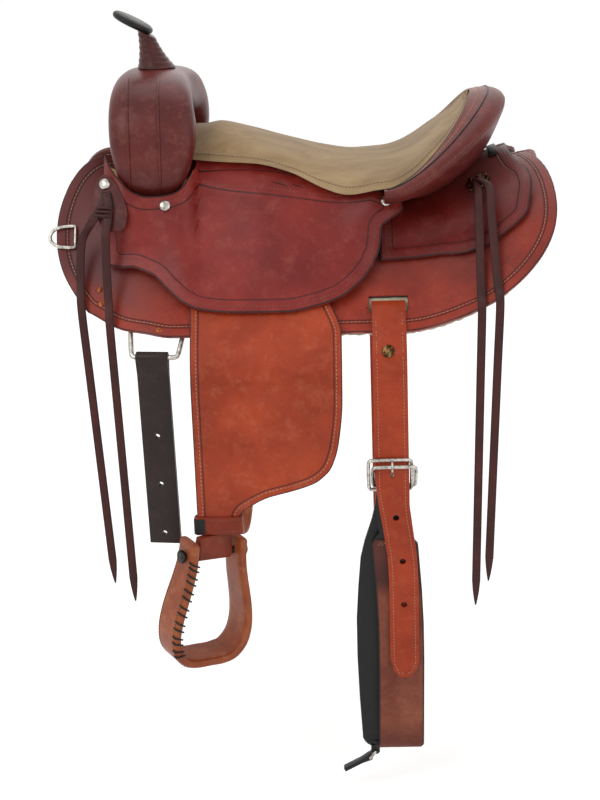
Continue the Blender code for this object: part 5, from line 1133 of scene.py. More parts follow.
def makeRearJockeys():
    def place(a, b, h):
        front, seam = rearJockey["front"], rearJockey["seam"]
        x = front + (through(rearJockey["end"], a) - front) * b
        s = seam + (through(rearJockey["hem"], x) - seam) * a
        return backPoint(x, s, rearJockeyHeight(x, s) + h)

    def keep(a, b):
        p = place(a, b, 0)
        c = (p.x - rearJockey["footX"]) / (rearJockey["footReach"] - rearJockey["lap"])
        if c >= 1:
            return True
        half = rearJockey["footHalf"] - rearJockey["lap"]
        return abs(p.y) > half * math.sqrt(1 - max(c, 0) ** 2) ** 0.8

    def raisedHem(rim, a, b):
        return 0.0009 * (1 - smoothStep((rim - 0.0145) / 0.002))

    mesh, outline = leatherSheet("rearJockey", place, lipSteps(0.165, 0.0035, ends=(False, True)),
                                 lipSteps(0.19, 0.004), layer["jockey"], keep=keep, edges="lbr",
                                 shape=raisedHem)
    # the rear jockeys are painted paler and greyer over their top towards the cantle: a painted
    # sheen
    paint(mesh, lambda p: 0.8 * smoothStep((p.z + 0.01) / 0.05) * smoothStep((p.x - 0.15) / 0.1)
          + 0.2 * noise.noise(p * 25))
    addPair("rearJockeyPanel", mesh, rearJockeyLeather, "saddle", ["rear_jockey_*"])
    stitchPair("rearJockeyStitching", insideLine(outline, mesh, jockeyStitchIn), rustThread,
               "saddle")
    addDressed("rearJockeyKeeper", "rear_jockey_tie", blackLeather, "saddle", "black_leather")


makeRearJockeys()
print("jockeys laid over the skirts")


# swell cover, horn

swell = {"centre": -0.183, "square": 3.2, "leather": 0.004, "sides": 64, "weltRadius": 0.0019,
         "stations": ((0.088, -0.005, 0.050, 0.026, -0.002), (0.101, 0.035, 0.056, 0.030, -0.002),
                      (0.110, 0.062, 0.082, 0.036, 0.001), (0.113, 0.095, 0.100, 0.045, 0.003),
                      (0.105, 0.125, 0.104, 0.052, 0.003), (0.084, 0.147, 0.100, 0.052, 0.001),
                      (0.048, 0.159, 0.094, 0.048, -0.001), (0.000, 0.163, 0.088, 0.044, -0.003)),
         "welts": (-0.029, 0.011)}


def swellSections(grow, sides, fine=8):
    half = [Vector((swell["centre"] + c, -y, z)) for y, z, w, t, c in swell["stations"]]
    path = refined(half + [Vector((p.x, -p.y, p.z)) for p in half[-2::-1]], fine)
    wide = [s[2] for s in swell["stations"]]
    deep = [s[3] for s in swell["stations"]]
    wide, deep = refined(wide + wide[-2::-1], fine), refined(deep + deep[-2::-1], fine)
    rings = []
    for i, p in enumerate(path):
        ahead, behind = path[min(i + 1, len(path) - 1)], path[max(i - 1, 0)]
        along = Vector((0, ahead.y - behind.y, ahead.z - behind.z)).normalized()
        normal = Vector((0, -along.z, along.y))
        rings.append(squaredRing(p, Vector((wide[i] / 2 + grow, 0, 0)),
                                 normal * (deep[i] / 2 + grow), swell["square"], sides))
    return rings[fine:len(rings) - fine]


def swellTop(x, y, grow):
    stations = sorted(swell["stations"][-3:])
    z, w, t, c = (through([(s[0], s[k]) for s in stations], abs(y)) for k in (1, 2, 3, 4))
    share = min(abs(x - swell["centre"] - c) / (w / 2 + grow), 0.98)
    return z + (t / 2 + grow) * (1 - share ** swell["square"]) ** (1 / swell["square"])


def makeSwell():
    count = swell["sides"]
    outer = swellSections(swell["leather"] + 2 * layer["fit"], count)
    inner = swellSections(2 * layer["fit"] + 0.0004, count)
    rings = outer + inner[::-1]
    mesh = skinned("swellCover", rings, wrap=True, sharp=60)
    # painted shade darkens the swell low down under its lit shoulders; it is also painted darker at
    # its front
    paint(mesh, lambda p: 0.75 * smoothStep((0.075 - p.z) / 0.055) + 0.25 * noise.noise(p * 30)
          + 0.3 * smoothStep((-0.232 - p.x) / 0.02))
    addPiece("swellCoverLeather", mesh, swellLeather, "saddle", ["swell_cover"])
    tree = surfaceOf(mesh)
    # two welted seams run down each face of the swell from under the horn
    for number, offset in enumerate(swell["welts"]):
        for word, side in sides:
            line = []
            for ring in outer[3:len(outer) // 2 - 9]:
                middle = sum(ring, Vector()) / count
                spot = min(ring, key=lambda p: abs(p.x - middle.x - offset) * 3
                           - (p - middle).dot(Vector((0, -1, 0.35))) * 0.8)
                face, normal, _, _ = tree.find_nearest(
                    Vector((middle.x + offset, spot.y, spot.z)))
                here = face + normal * 0.0004
                line.append(Vector((here.x, -side * here.y, here.z)))
            sizes = [min(1.0, 0.2 + 0.16 * min(i, len(line) - 1 - i)) for i in range(len(line))]
            cord = wire("swellWelt", line, swell["weltRadius"], sides=8, sizes=sizes)
            addPiece("swellWelt%d_%s" % (number, word), cord, swellLeather, "saddle")


horn = {"lean": 28.0, "centre": (-0.2105, 0, 0.2505), "capThick": 0.009, "capBack": 0.022,
        "neckTop": 0.0135, "neckFoot": 0.0255, "wide": 1.12, "turns": 6.2, "steps": 64,
        "count": 48, "capOut": 0.029, "capHigh": 0.0045, "stitchOut": 0.0238, "stitchUp": 0.0046,
        "crown": ((0.0225, 0.0043), (0.0215, 0.0049), (0.012, 0.0053), (0.0, 0.0055))}


def hornAxis():
    tilt = Matrix.Rotation(math.radians(horn["lean"]), 4, "Y")
    centre = Vector(horn["centre"])
    top = centre - (tilt @ up) * (horn["capThick"] / 2 + layer["fit"])
    top -= (tilt @ Vector((-1, 0, 0))) * horn["capBack"]
    x = swell["centre"] - 0.002
    return Vector((x, 0, swellTop(x, 0, 0) + 2 * layer["fit"])), top, centre, tilt


def makeHorn():
    foot, top, centre, tilt = hornAxis()
    # the neck is wound with a leather strip, each turn about 9 mm, lapping the one below
    rings = []
    low = foot + Vector((0.003, 0, swell["leather"] + 2 * layer["fit"]))
    for i in range(horn["steps"] + 1):
        t = i / horn["steps"]
        radius = horn["neckTop"] + (horn["neckFoot"] - horn["neckTop"]) * (1 - t) ** 2.0
        lean = Matrix.Rotation(math.radians(horn["lean"]) * t ** 1.5, 4, "Y")
        ring = []
        for k in range(horn["count"]):
            a = 2 * math.pi * k / horn["count"]
            turn = (t * horn["turns"] + k / horn["count"]) % 1.0
            wound = radius + (0.0011 * turn - 0.0008) * smoothStep(t / 0.12)
            spot = low.lerp(top, t) + lean @ Vector((wound * math.cos(a),
                                                     horn["wide"] * wound * math.sin(a), 0))
            if i == 0:
                spot.z = swellTop(spot.x, spot.y, swell["leather"] + layer["fit"]) + 0.0015
            ring.append(spot)
        rings.append(ring)
    addPiece("hornNeckWinding", skinned("hornNeck", rings), hornLeather, "saddle",
             ["horn_neck_wrap"])
    out, high = horn["capOut"], horn["capHigh"]
    profile = [(0.0, -high), (0.018, -high)]
    profile += [(out - high * (1 - math.sin(math.pi * k / 12)), -high * math.cos(math.pi * k / 12))
                for k in range(13)]
    place = Matrix.Translation(centre) @ tilt
    forward, across = tilt @ Vector((1, 0, 0)), tilt @ Vector((0, 1, 0))

    def circle(radius, z, sides):
        radius = max(radius, 0.0002)
        return ringAround(place @ Vector((0, 0, z)), forward * radius, across * radius, sides)

    cap = skinned("hornCap", [circle(r, z, 64) for r, z in profile + list(horn["crown"])])
    addPiece("hornCapLeather", cap, blackLeather, "saddle", ["horn_cap"])
    line = circle(horn["stitchOut"], horn["stitchUp"], 60)
    stitchRow("hornCapStitching", [(p, tilt.to_3x3() @ up) for p in line + line[:1]], tanThread,
              "saddle", spacing=0.0044, length=0.003)
    addDressed("hornPost", "horn_post", stainlessWire, "saddle", bevel=0.0005)


makeSwell()
makeHorn()
print("swell covered, horn wound and capped")


# tree and ground seat, mostly hidden

for node in ("tree_fork", "tree_bar_near", "tree_bar_off", "tree_cantle"):
    addDressed(node.replace("_", "") + "Wood", node, beechTree, "saddle", "tree_wood",
               bevel=0.0015, angle=25)
addDressed("groundSeatLeather", "ground_seat", groundLeather, "saddle", "ground_seat_leather",
           bevel=0.001)


# cantle: binding, dished back and roll

cantle = {"leather": 0.004, "steps": 108, "fine": 4, "gap": 0.0014, "rollTop": 0.046,
          "rollEnd": 0.014, "bindingEnds": 8}


def cantleProfile(angle):
    a = math.radians(angle)
    outward = Vector((math.cos(a), math.sin(a), 0))
    lip = rimPoint(angle) + outward * cantle["gap"]
    width = cantle["rollEnd"]
    width += (cantle["rollTop"] - cantle["rollEnd"]) * max(math.cos(a), 0) ** 1.2
    lift = 0.3 + 0.7 * math.cos(a)
    under = lip + outward * (width - 0.007) - up * (0.030 * lift + 0.005)
    x, y = cantleFoot(angle)
    s = downFromSpine(x, y, 0.033)
    lie = rearJockeyHeight(x, s) + layer["jockey"] + layer["bed"]
    foot = Vector((x, y, restingHeight(x, y, lie)))
    foot = foot.lerp(under - outward * 0.018 - up * 0.006, smoothStep((abs(angle) - 66) / 18))
    return [lip - up * 0.0030, lip, lip + outward * width * 0.50 + up * 0.0022 * lift,
            lip + outward * width * 0.86 - up * 0.0030 * lift,
            lip + outward * width - up * (0.012 * lift + 0.003), under,
            under.lerp(foot, 0.45) - up * 0.004 * lift, foot]


def makeCantle():
    steps, fine = cantle["steps"], cantle["fine"]
    grid = [refined(cantleProfile(90 - 180 * k / steps), fine) for k in range(steps + 1)]
    rows, cols = len(grid), len(grid[0])
    inner = []
    for i in range(rows):
        for j in range(cols):
            a = grid[min(i + 1, rows - 1)][j] - grid[max(i - 1, 0)][j]
            b = grid[i][min(j + 1, cols - 1)] - grid[i][max(j - 1, 0)]
            inner.append(grid[i][j] + b.cross(a).normalized() * cantle["leather"])
    faces = shellFaces(rows, cols)
    finish = []
    for _ in range(rows - 1):
        for j in range(cols - 1):
            finish += [0 if j < cantle["bindingEnds"] else 1, 1]
    finish += [0] * (len(faces) - len(finish))
    mesh = meshOf("cantleCover", [p for row in grid for p in row] + inner, faces, sharp=60,
                  faceFinish=finish)
    paint(mesh, lambda p: 0.5 * smoothStep((0.05 - p.z) / 0.06) + 0.2 * noise.noise(p * 28))
    addPiece("cantleCoverLeather", mesh, [bindingLeather, rollLeather], "saddle", ["cantle_cover"])
    tree = surfaceOf(mesh)

    # points and normals along one line of the cover, from ear to ear
    def runAt(j, inset):
        return [(grid[i][j], tree.find_nearest(grid[i][j])[1]) for i in range(inset, rows - inset)]

    edge = runAt(cantle["bindingEnds"], 1)
    cord = wire("bindingEdge", [p + n * 0.0001 for p, n in edge], 0.0012, sides=8)
    addPiece("cantleBindingEdge", cord, blackLeather, "saddle")
    stitchRow("cantleBindingStitching", runAt(cantle["bindingEnds"] - 2, 2), paleThread, "saddle",
              spacing=0.0048, length=0.0034, thick=0.0011)
    stitchRow("cantleRollStitching", runAt(cantle["bindingEnds"] + 7, 6), rustThread, "saddle")


makeCantle()
print("cantle bound and rolled")


# the padded seat: a pad of soft foam under buffed suede, pressed up by cloth simulation

cushion = {"voxel": 0.006, "pressure": 4.0, "frames": 20, "cap": 0.0050, "border": 0.90,
           "rows": 64, "cols": 49, "reach": 1.965, "borderEnd": 0.915, "seamDeep": 0.0013,
           "close": 12}


# how far the foam presses the suede up at each place: a cloth simulation of the closed pad
def pressedLift(mesh, upper):
    pad = linked("pressedPad", mesh.copy())
    remesh = pad.modifiers.new("remesh", "REMESH")
    remesh.mode, remesh.voxel_size = "VOXEL", cushion["voxel"]
    seen = pad.evaluated_get(bpy.context.evaluated_depsgraph_get())
    pad.data = bpy.data.meshes.new_from_object(seen)
    pad.modifiers.clear()
    start = [v.co.copy() for v in pad.data.vertices]
    normals = [v.normal.copy() for v in pad.data.vertices]
    cloth = pad.modifiers.new("cloth", "CLOTH")
    cloth.settings.use_pressure = True
    cloth.settings.uniform_pressure_force = cushion["pressure"]
    cloth.settings.effector_weights.gravity = 0
    for number in range(1, cushion["frames"] + 1):
        bpy.context.scene.frame_set(number)
    seen = pad.evaluated_get(bpy.context.evaluated_depsgraph_get())
    ends = [v.co.copy() for v in bpy.data.meshes.new_from_object(seen).vertices]
    bpy.context.scene.frame_set(1)
    bpy.data.objects.remove(pad, do_unlink=True)
    tree = surfaceOf(upper)
    found = KDTree(len(start))
    moves = []
    for a, b, normal in zip(start, ends, normals):
        # only the face rises; what rests on the ground seat and jockeys stays where it lies
        if tree.find_nearest(a)[3] < 0.004:
            found.insert(a, len(moves))
            moves.append(min(max((b - a).dot(normal), 0.0), cushion["cap"]))
    found.balance()

    def lift(place):
        close = found.find_n(place, cushion["close"])
        return sum(moves[i] for _, i, _ in close) / len(close)

    return lift


def makeSeat():
    rows, cols = cushion["rows"], cushion["cols"]
    places = [(-1 + cushion["reach"] * i / (rows - 1), 2 * j / (cols - 1) - 1)
              for i in range(rows) for j in range(cols)]
    face = [seatTop(v, w) - seatNormal(v, w) * 0.0016 * (1 - abs(w) ** 8) for v, w in places]
    flesh = [underSeat(v, w, -0.0004) for v, w in places]
    faces = shellFaces(rows, cols)
    mesh = meshOf("seatPad", face + flesh, faces, turned=True)
    upper = meshOf("upper", face, [f for f in faces if max(f) < len(face)])
    lift = pressedLift(mesh, upper)
    for (v, w), vertex in zip(places, mesh.vertices):
        vertex.co += seatNormal(v, w) * lift(vertex.co) * (1 - abs(w) ** 14)
    pad = linked("seatPad", mesh)
    pad.modifiers.new("subdivide", "SUBSURF").levels = 1
    mesh = settled(applied(pad), 70)
    # the border seam is drawn down into the pad after it has been filled
    border = cushion["border"]
    lines = [[seatTop(-0.985 + 1.90 * k / 199, side * border) for k in range(200)]
             for side in (near, off)]
    lines.append([seatTop(cushion["borderEnd"], -border + 2 * border * k / 98)
                  for k in range(99)])
    seam = nearTree([spot for line in lines for spot in line])
    seatShade = []
    for v in mesh.vertices:
        away = seam.find(v.co)[2]
        v.co -= v.normal * cushion["seamDeep"] * (1 - smoothStep(away / 0.0045))
        # painted shade: the suede darkens in the border seam's groove and over the front of the
        # seat, by the swell
        seatShade.append(min(0.6 * (1 - smoothStep(away / 0.003))
                         + 0.45 * smoothStep((-0.095 - v.co.x) / 0.03), 1.0))
    mesh.shade_smooth()
    setMarks(mesh, "toneAndShading", seatShade)
    pad = addPiece("seatPadSuede", mesh, seatSuede, "saddle", ["seat_cushion"])
    tree = surfaceOf(mesh)
    for name, line in zip(("Near", "Off", "Back"), lines):
        row = [tree.find_nearest(spot)[:2] for spot in line]
        stitchRow("seatBorderStitching" + name, row, tanThread, "saddle", spacing=0.0048,
                  length=0.0035)


makeSeat()
print("seat padded and its border stitched")


# fenders, stirrup leathers and hobble straps

fender = {"top": 0.125, "straight": 0.135, "bend": 0.090, "front": -0.135, "long": 0.352,
          "neck": 0.056, "hobble": 0.026, "stitchIn": 0.0075, "start": 0.006,
          "rear": ((0.0, 0.004), (0.030, 0.020), (0.085, 0.046), (0.130, 0.060), (0.200, 0.059),
                   (0.255, 0.053), (0.288, 0.043), (0.308, 0.024), (0.320, -0.008),
                   (0.328, -0.040), (0.338, -0.061), (0.346, -0.074), (0.352, -0.079))}


def fenderPath(q, h):
    side = math.radians(back["side"])
    start = backPoint(0, back["arc"], 0)
    reach = fender["top"] - back["arc"]
    along = reach + min(q, fender["straight"])
    out, down, angle = along * math.cos(side), along * math.sin(side), side
    if q > fender["straight"]:
        bend = fender["bend"]
        turned = min(q - fender["straight"], (math.pi / 2 - side) * bend)
        angle = side + turned / bend
        out += bend * (math.sin(angle) - math.sin(side))
        down += bend * (math.cos(side) - math.cos(angle)) + q - fender["straight"] - turned
    return -start.y + out + h * math.sin(angle), start.z - down + h * math.cos(angle)


def makeFenders():
    full = fender["long"] + fender["hobble"]

    def place(a, b, h):
        q = fender["start"] + (full - fender["start"]) * a
        front = fender["front"] + 0.050 * (1 - smoothStep(q / 0.085))
        x = front + (through(fender["rear"], q) - front) * b
        y, z = fenderPath(q, layer["fenderIn"] + h)
        return Vector((x, -y, z))

    def raisedFace(rim, a, b):
        return 0.0003 * smoothStep((rim - 0.012) / 0.004)

    mesh, outline = leatherSheet("fender", place, lipSteps(full, 0.0032, ends=(False, True)),
                                 lipSteps(0.19, 0.0045), layer["fender"], edges="lr",
                                 shape=raisedFace)
    # the fender is painted darker along its front edge and towards its foot: painted shade round
    # its lit middle
    paint(mesh, lambda p: 0.35 * smoothStep((0.02 - abs(p.x + 0.12)) / 0.03)
          + 0.22 * noise.noise(p * 16) + 0.25 * smoothStep((-0.30 - p.z) / 0.12))
    addPair("fenderPanel", mesh, fenderLeather, "fender_set_*", ["fender_*"])
    line = [(p, n) for p, n in insideLine(outline, mesh, fender["stitchIn"]) if p.z < -0.04]
    stitchPair("fenderStitching", line, paleThread, "fender_set_*", thick=0.0012)
    for word, side in sides:
        body = "fender_set_" + word
        addDressed("stirrupLeatherStrap_" + word, "stirrup_leather_" + word, stirrupStrapLeather,
                   body, "fender_leather", bevel=0.0007)
        addDressed("hobbleStrapBand_" + word, "hobble_strap_" + word, hobbleLeather, body,
                   "fender_leather", bevel=0.0007)
        low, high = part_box("hobble_strap_" + word)
        face = low[1] if side == near else high[1]
        for number, z in enumerate((low[2] + 0.0042, high[2] - 0.0042)):
            row = [(Vector((x / 1000, face, z)), Vector((0, side, 0)))
                   for x in range(int(low[0] * 1000) + 14, int(high[0] * 1000) - 1)]
            stitchRow("hobbleStitching%d_%s" % (number, word), row, rustThread, body,
                      spacing=0.0044, length=0.0032)
        # the hobble strap's doubled end, buckled round at the front
        bottom, top = low[2] + 0.002, high[2] - 0.002
        rings = []
        for ahead, grow in ((-0.0012, 0.0), (-0.0004, 0.0011), (0.010, 0.0013),
                            (0.0125, 0.0009), (0.0135, 0.0)):
            x, inner, outer = low[0] + ahead, low[1] - grow, high[1] + grow
            rings.append([Vector((x, y, z)) for y, z in
                          ((inner, bottom), (outer, bottom), (outer, top), (inner, top))])
        addPiece("hobbleKeeper_" + word, skinned("hobbleKeeper", rings, sharp=40), blackLeather,
                 body)


makeFenders()
print("fenders hung")


# stirrups: bent wood covered in stitched leather, laced down the front branch

stirrup = {"topHalf": 0.036, "high": 0.176, "deep": 0.050, "topDeep": 0.040, "wall": 0.012,
           "boltDrop": 0.052, "boltUp": 0.020, "boltRadius": 0.005, "lean": 8.0,
           "turn": {"near": 34.0, "off": -74.0}, "hangerSet": 0.007, "laces": 14,
           "laceRadius": 0.00125, "tread": 0.0016, "stitchIn": 0.0052, "sides": 28,
           "shape": ((0.036, 1.0), (0.036, 0.90), (0.0375, 0.80), (0.0415, 0.68), (0.0475, 0.54),
                     (0.0525, 0.40), (0.0540, 0.27), (0.0495, 0.15), (0.0370, 0.065),
                     (0.0200, 0.035), (0.0, 0.034))}


# the middle of the fender's foot, where the stirrup's loop hangs
def hangerPoint(side):
    y, top = fenderPath(fender["long"] + 0.001, (layer["strapIn"] + layer["fenderOut"]) / 2)
    low = fenderPath(fender["long"] + fender["hobble"], layer["strapIn"])[1]
    return Vector((fender["front"] + fender["neck"] / 2 - stirrup["hangerSet"], side * y,
                   low - layer["fit"]))


def hungTurn(word, side):
    top = hangerPoint(side)
    return (Matrix.Translation(top) @ Matrix.Rotation(math.radians(stirrup["lean"]), 4, "Y")
            @ Matrix.Rotation(math.radians(stirrup["turn"][word]), 4, "Z")
            @ Matrix.Translation(-top))


def makeStirrups():
    for word, side in sides:
        turn = hungTurn(word, side)
        bolt = hangerPoint(side) - Vector((0, 0, stirrup["boltDrop"] - fender["hobble"]))
        low = bolt.z + stirrup["boltUp"] - stirrup["high"]
        half = [(x, low + stirrup["high"] * z) for x, z in stirrup["shape"]]
        path = [Vector((-x, 0, z)) for x, z in half] + [Vector((x, 0, z)) for x, z in half[-2::-1]]
        depth = [stirrup["topDeep"] + (stirrup["deep"] - stirrup["topDeep"]) * smoothStep(i / 5)
                 for i in range(len(half))]
        depth = refined(depth + depth[-2::-1], 8)
        path = refined(path, 8)
        last = len(path) - 1
        frames, rings = [], []
        for i, p in enumerate(path):
            along = (path[min(i + 1, last)] - path[max(i - 1, 0)]).normalized()
            normal = Vector((along.z, 0, -along.x))
            middle = Vector((bolt.x, bolt.y, 0)) + p
            frames.append((middle, normal, along))
            ends = 0.0012 * (1 - min(i, last - i, 2) / 2)
            rings.append(squaredRing(middle, normal * (stirrup["wall"] / 2 - ends),
                                     Vector((0, depth[i] / 2 - ends, 0)), 5, stirrup["sides"],
                                     0.5))
        mesh = skinned("stirrup", rings)
        bores = []
        for c in (-1, 1):
            ends = [bolt + Vector((c * (stirrup["topHalf"] + step), 0, 0))
                    for step in (-0.012, 0.012)]
            bores.append(rod(*ends, stirrup["boltRadius"] + layer["fit"], 20))
        mesh = settled(cutOut(mesh, bores))
        mesh.transform(turn)
        paint(mesh, lambda p: 0.30 * noise.noise(p * 30)
              + 0.35 * smoothStep((low + 0.05 - p.z) / 0.05))
        body = "stirrup_frame_" + word
        addPiece("stirrupFrame_" + word, mesh, stirrupLeather, body, ["stirrup_" + word])
        # the tread's upper face, where the boot rests, carries a second thickness of leather
        tread = []
        for i in range(int(last * 0.40), int(last * 0.60) + 1, 2):
            middle, normal, _ = frames[i]
            wide = depth[i] / 2 - 0.004
            thick = stirrup["tread"] * min(1, min(i - last * 0.40, last * 0.60 - i) / 4)
            tread.append([turn @ (middle - normal * (stirrup["wall"] / 2 + h) + Vector((0, y, 0)))
                          for y, h in ((-wide, 0.0), (wide, 0.0), (wide, thick), (-wide, thick))])
        addPiece("stirrupTread_" + word, skinned("stirrupTread", tread, sharp=50), stirrupLeather,
                 body)
        # laces drawn through the edge of the cover down the front branch
        for number in range(stirrup["laces"]):
            i = int(last * (0.075 + 0.022 * number))
            middle, normal, along = frames[i]
            lace = []
            for u in range(9):
                t = u / 8
                reach = (stirrup["wall"] / 2 + 0.0004) * (1 - 1.9 * t)
                edge = -(depth[i] / 2 + 0.0006 + 0.0006 * math.sin(math.pi * t))
                lace.append(turn @ (middle + normal * reach + Vector((0, edge, 0))
                                    + along * 0.004 * (t - 0.5)))
            lace.insert(0, lace[0] + (turn.to_3x3() @ Vector((0, 0.007, 0))))
            addPiece("stirrupLace%02d_%s" % (number, word),
                     wire("stirrupLace", lace, stirrup["laceRadius"], sides=7), blackLeather, body)
        # a stitched seam along both edges of the outer face
        for number, edge in enumerate((-1, 1)):
            row = []
            for i in range(8, last - 7):
                middle, normal, _ = frames[i]
                inset = Vector((0, edge * (depth[i] / 2 - stirrup["stitchIn"]), 0))
                row.append((turn @ (middle + normal * (stirrup["wall"] / 2 - 0.0001) + inset),
                            turn.to_3x3() @ normal))
            stitchRow("stirrupStitching%d_%s" % (number, word), row, rustThread, body,
                      spacing=0.0046, length=0.0033)
        addDressed("stirrupLoopLeather_" + word, "stirrup_loop_" + word, stirrupStrapLeather,
                   "stirrup_hanger_" + word, "fender_leather", bevel=0.0006)
        addDressed("stirrupBoltSteel_" + word, "stirrup_bolt_" + word, blackenedBolt,
                   "stirrup_hanger_" + word, "stainless_steel", segments=3)


makeStirrups()
print("stirrups laced")


# wire and screws

for word, side in sides:
    addWire("riggingRingWire_" + word, "rigging_ring_" + word, "saddle")
    addWire("breastDeeWire_" + word, "breast_dee_" + word, "breast_dee_set_" + word)
    for node in ("rosette_screw_", "swell_screw_", "seat_screw_"):
        addWire(node.replace("_", "") + "Dome_" + word, node + word, "saddle", 0.0001)
addWire("cinchBuckleNear", "cinch_buckle_near", "cinch")
addWire("cinchBuckleFar", "cinch_buckle_far", "cinch")
addWire("buckleTongueWire", "buckle_tongue", "cinch", 0.0001)
addWire("connectorRingWire", "connector_ring", "connector_link", 0.0001)
addDressed("connectorStrapLeather", "connector_strap", blackLeather, "connector",
           "black_leather", bevel=0.0004)


# a low dome standing on a surface: a rivet or a burr
def dome(point, normal, radius, height):
    normal = normal.normalized()
    first = normal.orthogonal().normalized()
    second = normal.cross(first)
    outline = ((1.0, -0.3), (1.0, 0.15), (0.93, 0.45), (0.74, 0.78), (0.45, 0.95), (0.12, 1.0))
    return skinned("dome", [ringAround(point + normal * z * height, first * r * radius,
                                       second * r * radius, 20) for r, z in outline])


rivet = {"places": ((-0.2567, 0.222), (-0.2550, 0.241), (-0.1760, 0.2405)), "radius": 0.0046,
         "high": 0.0016}
for word, side in sides:
    for number, (x, s) in enumerate(rivet["places"]):
        point = backPoint(x, s, layer["skirtOut"], side)
        normal = backPoint(x, s, layer["skirtOut"] + 0.01, side) - point
        addPiece("skirtRivet%d_%s" % (number, word),
                 dome(point, normal, rivet["radius"], rivet["high"]), copperRivet, "saddle")


# latigo and off billet, folded over the rings

latigo = {"holes": (0.108, 0.176, 0.247), "holeRadius": 0.0036, "lean": 3.2, "shift": -0.003,
          "ringX": -0.183, "ringEye": -0.112, "barHeight": -0.159, "lie": 0.0094}


# the rigging ring's lower bar, and how far the ring is turned from fore and aft
def ringBar():
    ring = latigo["ringX"]

    def beside(x, z):
        low, high = 0.05, 0.50
        for _ in range(40):
            s = (low + high) / 2
            if backPoint(x, s, latigo["lie"]).z > z:
                low = s
            else:
                high = s
        return backPoint(x, low, latigo["lie"])

    ahead, behind = (beside(ring + c * 0.038, latigo["ringEye"]) for c in (-1, 1))
    level = (behind - ahead).normalized()
    middle = sum((beside(ring + c * 0.031, latigo["barHeight"]) for c in (-1, 1)), Vector()) / 2
    return middle, math.atan2(level.y, level.x)


def makeLatigo():
    centre, yaw = ringBar()
    turn = (Matrix.Translation(centre) @ Matrix.Rotation(yaw, 4, "Z")
            @ Matrix.Rotation(math.radians(latigo["lean"]), 4, "X"))
    mesh = dressed("latigo", "latigo_near", 0.0009)
    cutters = []
    for drop in latigo["holes"]:
        a, b = (turn @ Vector((latigo["shift"], y, -drop)) for y in (-0.02, 0.02))
        cutters.append(rod(a, b, latigo["holeRadius"], 20))
    mesh = settled(cutOut(mesh, cutters))
    addPiece("latigoStrap", mesh, latigoLeather, "latigo", ["latigo_near"])
    addDressed("offBilletStrap", "off_billet", latigoLeather, "off_side_billet",
               "latigo_leather", bevel=0.0009)


makeLatigo()
print("rings, rivets and latigo on")


# rosettes and saddle strings

string = {"wide": 0.011, "thick": 0.0028, "tieThick": 0.003, "point": 0.030, "fold": 0.25,
          "gap": 0.0045, "turnRadius": 0.0021, "knotRadius": 0.0020}
rosette = {"frontX": -0.228, "frontShare": 0.30, "frontTilt": 32, "reach": 0.019,
           "rearX": 0.244, "rearDown": 0.078}


def jockeyFrame(x, t, h, side):
    flip = Matrix.Diagonal((1, -side, 1))
    here, below, behind = (flip @ jockeyPlace(*place, h)
                           for place in ((x, t), (x, t + 0.05), (x + 0.01, t)))
    down, along = (below - here).normalized(), (behind - here).normalized()
    out = along.cross(down).normalized()
    if out.z < 0:
        out = -out
    return here, down, out


def frontRosetteFrame(side):
    x, share = rosette["frontX"], rosette["frontShare"]
    here, down, out = jockeyFrame(x, share, layer["jockey"], side)
    flip = Matrix.Diagonal((1, -side, 1))
    tilt = math.radians(rosette["frontTilt"])
    sideways = Vector((0, side * math.cos(tilt), math.sin(tilt)))
    out = (out * 0.35 + sideways * 0.65).normalized()
    along = (Vector((1, 0, 0)) - out * out.x).normalized()
    down = out.cross(along)
    if down.z > 0:
        down = -down
    # it is laid as low as the curved jockey under it allows
    lift = -1
    for reach in (0.0, 0.5, 1.0):
        for turn in range(12):
            a = math.pi * turn / 6
            p = flip @ jockeyPlace(here.x + rosette["reach"] * reach * math.cos(a),
                                   share + 0.12 * reach * math.sin(a), layer["jockey"])
            lift = max(lift, (p - here).dot(out))
    return here + out * (lift + layer["fit"]), along, down, out


def rearRosetteFrame(side):
    x, s = rosette["rearX"], rosette["rearDown"]
    h = rearJockeyHeight(x, s) + layer["jockey"] + 2 * layer["fit"]
    here = backPoint(x, s, h, side)
    down = (backPoint(x, s + 0.01, h, side) - here).normalized()
    along = backPoint(x + 0.01, s, h, side) - backPoint(x - 0.01, s, h, side)
    along.normalize()
    out = along.cross(down).normalized()
    if out.z < 0:
        out = -out
    return here, along, down, out


# a tail runs down over the skirt and hangs; the off side's tails are tied up in a loop
def tailRoute(side, route, drop, driftX, driftY):
    points = [backPoint(x, s, h, side) for x, s, h in route]
    if side == off:
        drop *= string["fold"]
    start = points[-1]
    points += [start + Vector((driftX * k / 5, side * driftY * k / 5, -drop * k / 5))
               for k in range(1, 6)]
    if side == off:
        away = Vector((0, side * string["gap"], 0))
        doubled = [p + away for p in points[::-1]]
        bend = points[-1] + away * 0.5 - Vector((0, 0, string["gap"] * 0.6))
        points = points + [bend] + doubled[:len(doubled) - 3]
    return points


# one tail of a string: a flat thong cut from latigo leather, pointed at its end
def thong(name, path, body, stands):
    path = refined(path, 6)
    long = runLength(path)
    point, wide = string["point"], string["wide"]
    travelled, widths, before = 0.0, [], path[0]
    for p in path:
        travelled += (p - before).length
        before = p
        left = long - travelled
        widths.append(wide * (1.0 if left > point else 0.16 + 0.84 * (left / point) ** 0.8))
    thick = [string["thick"] * (1 - 0.35 * (w < wide * 0.3)) for w in widths]
    mesh = strapAlong(name, path, widths, thick)
    paint(mesh, lambda p: 0.3 * noise.noise(p * 20) + 0.15)
    piece = addPiece(name, mesh, thongLeather, body, stands)
    tuple(path[0])
    [tuple(p) for p in path]
    return piece


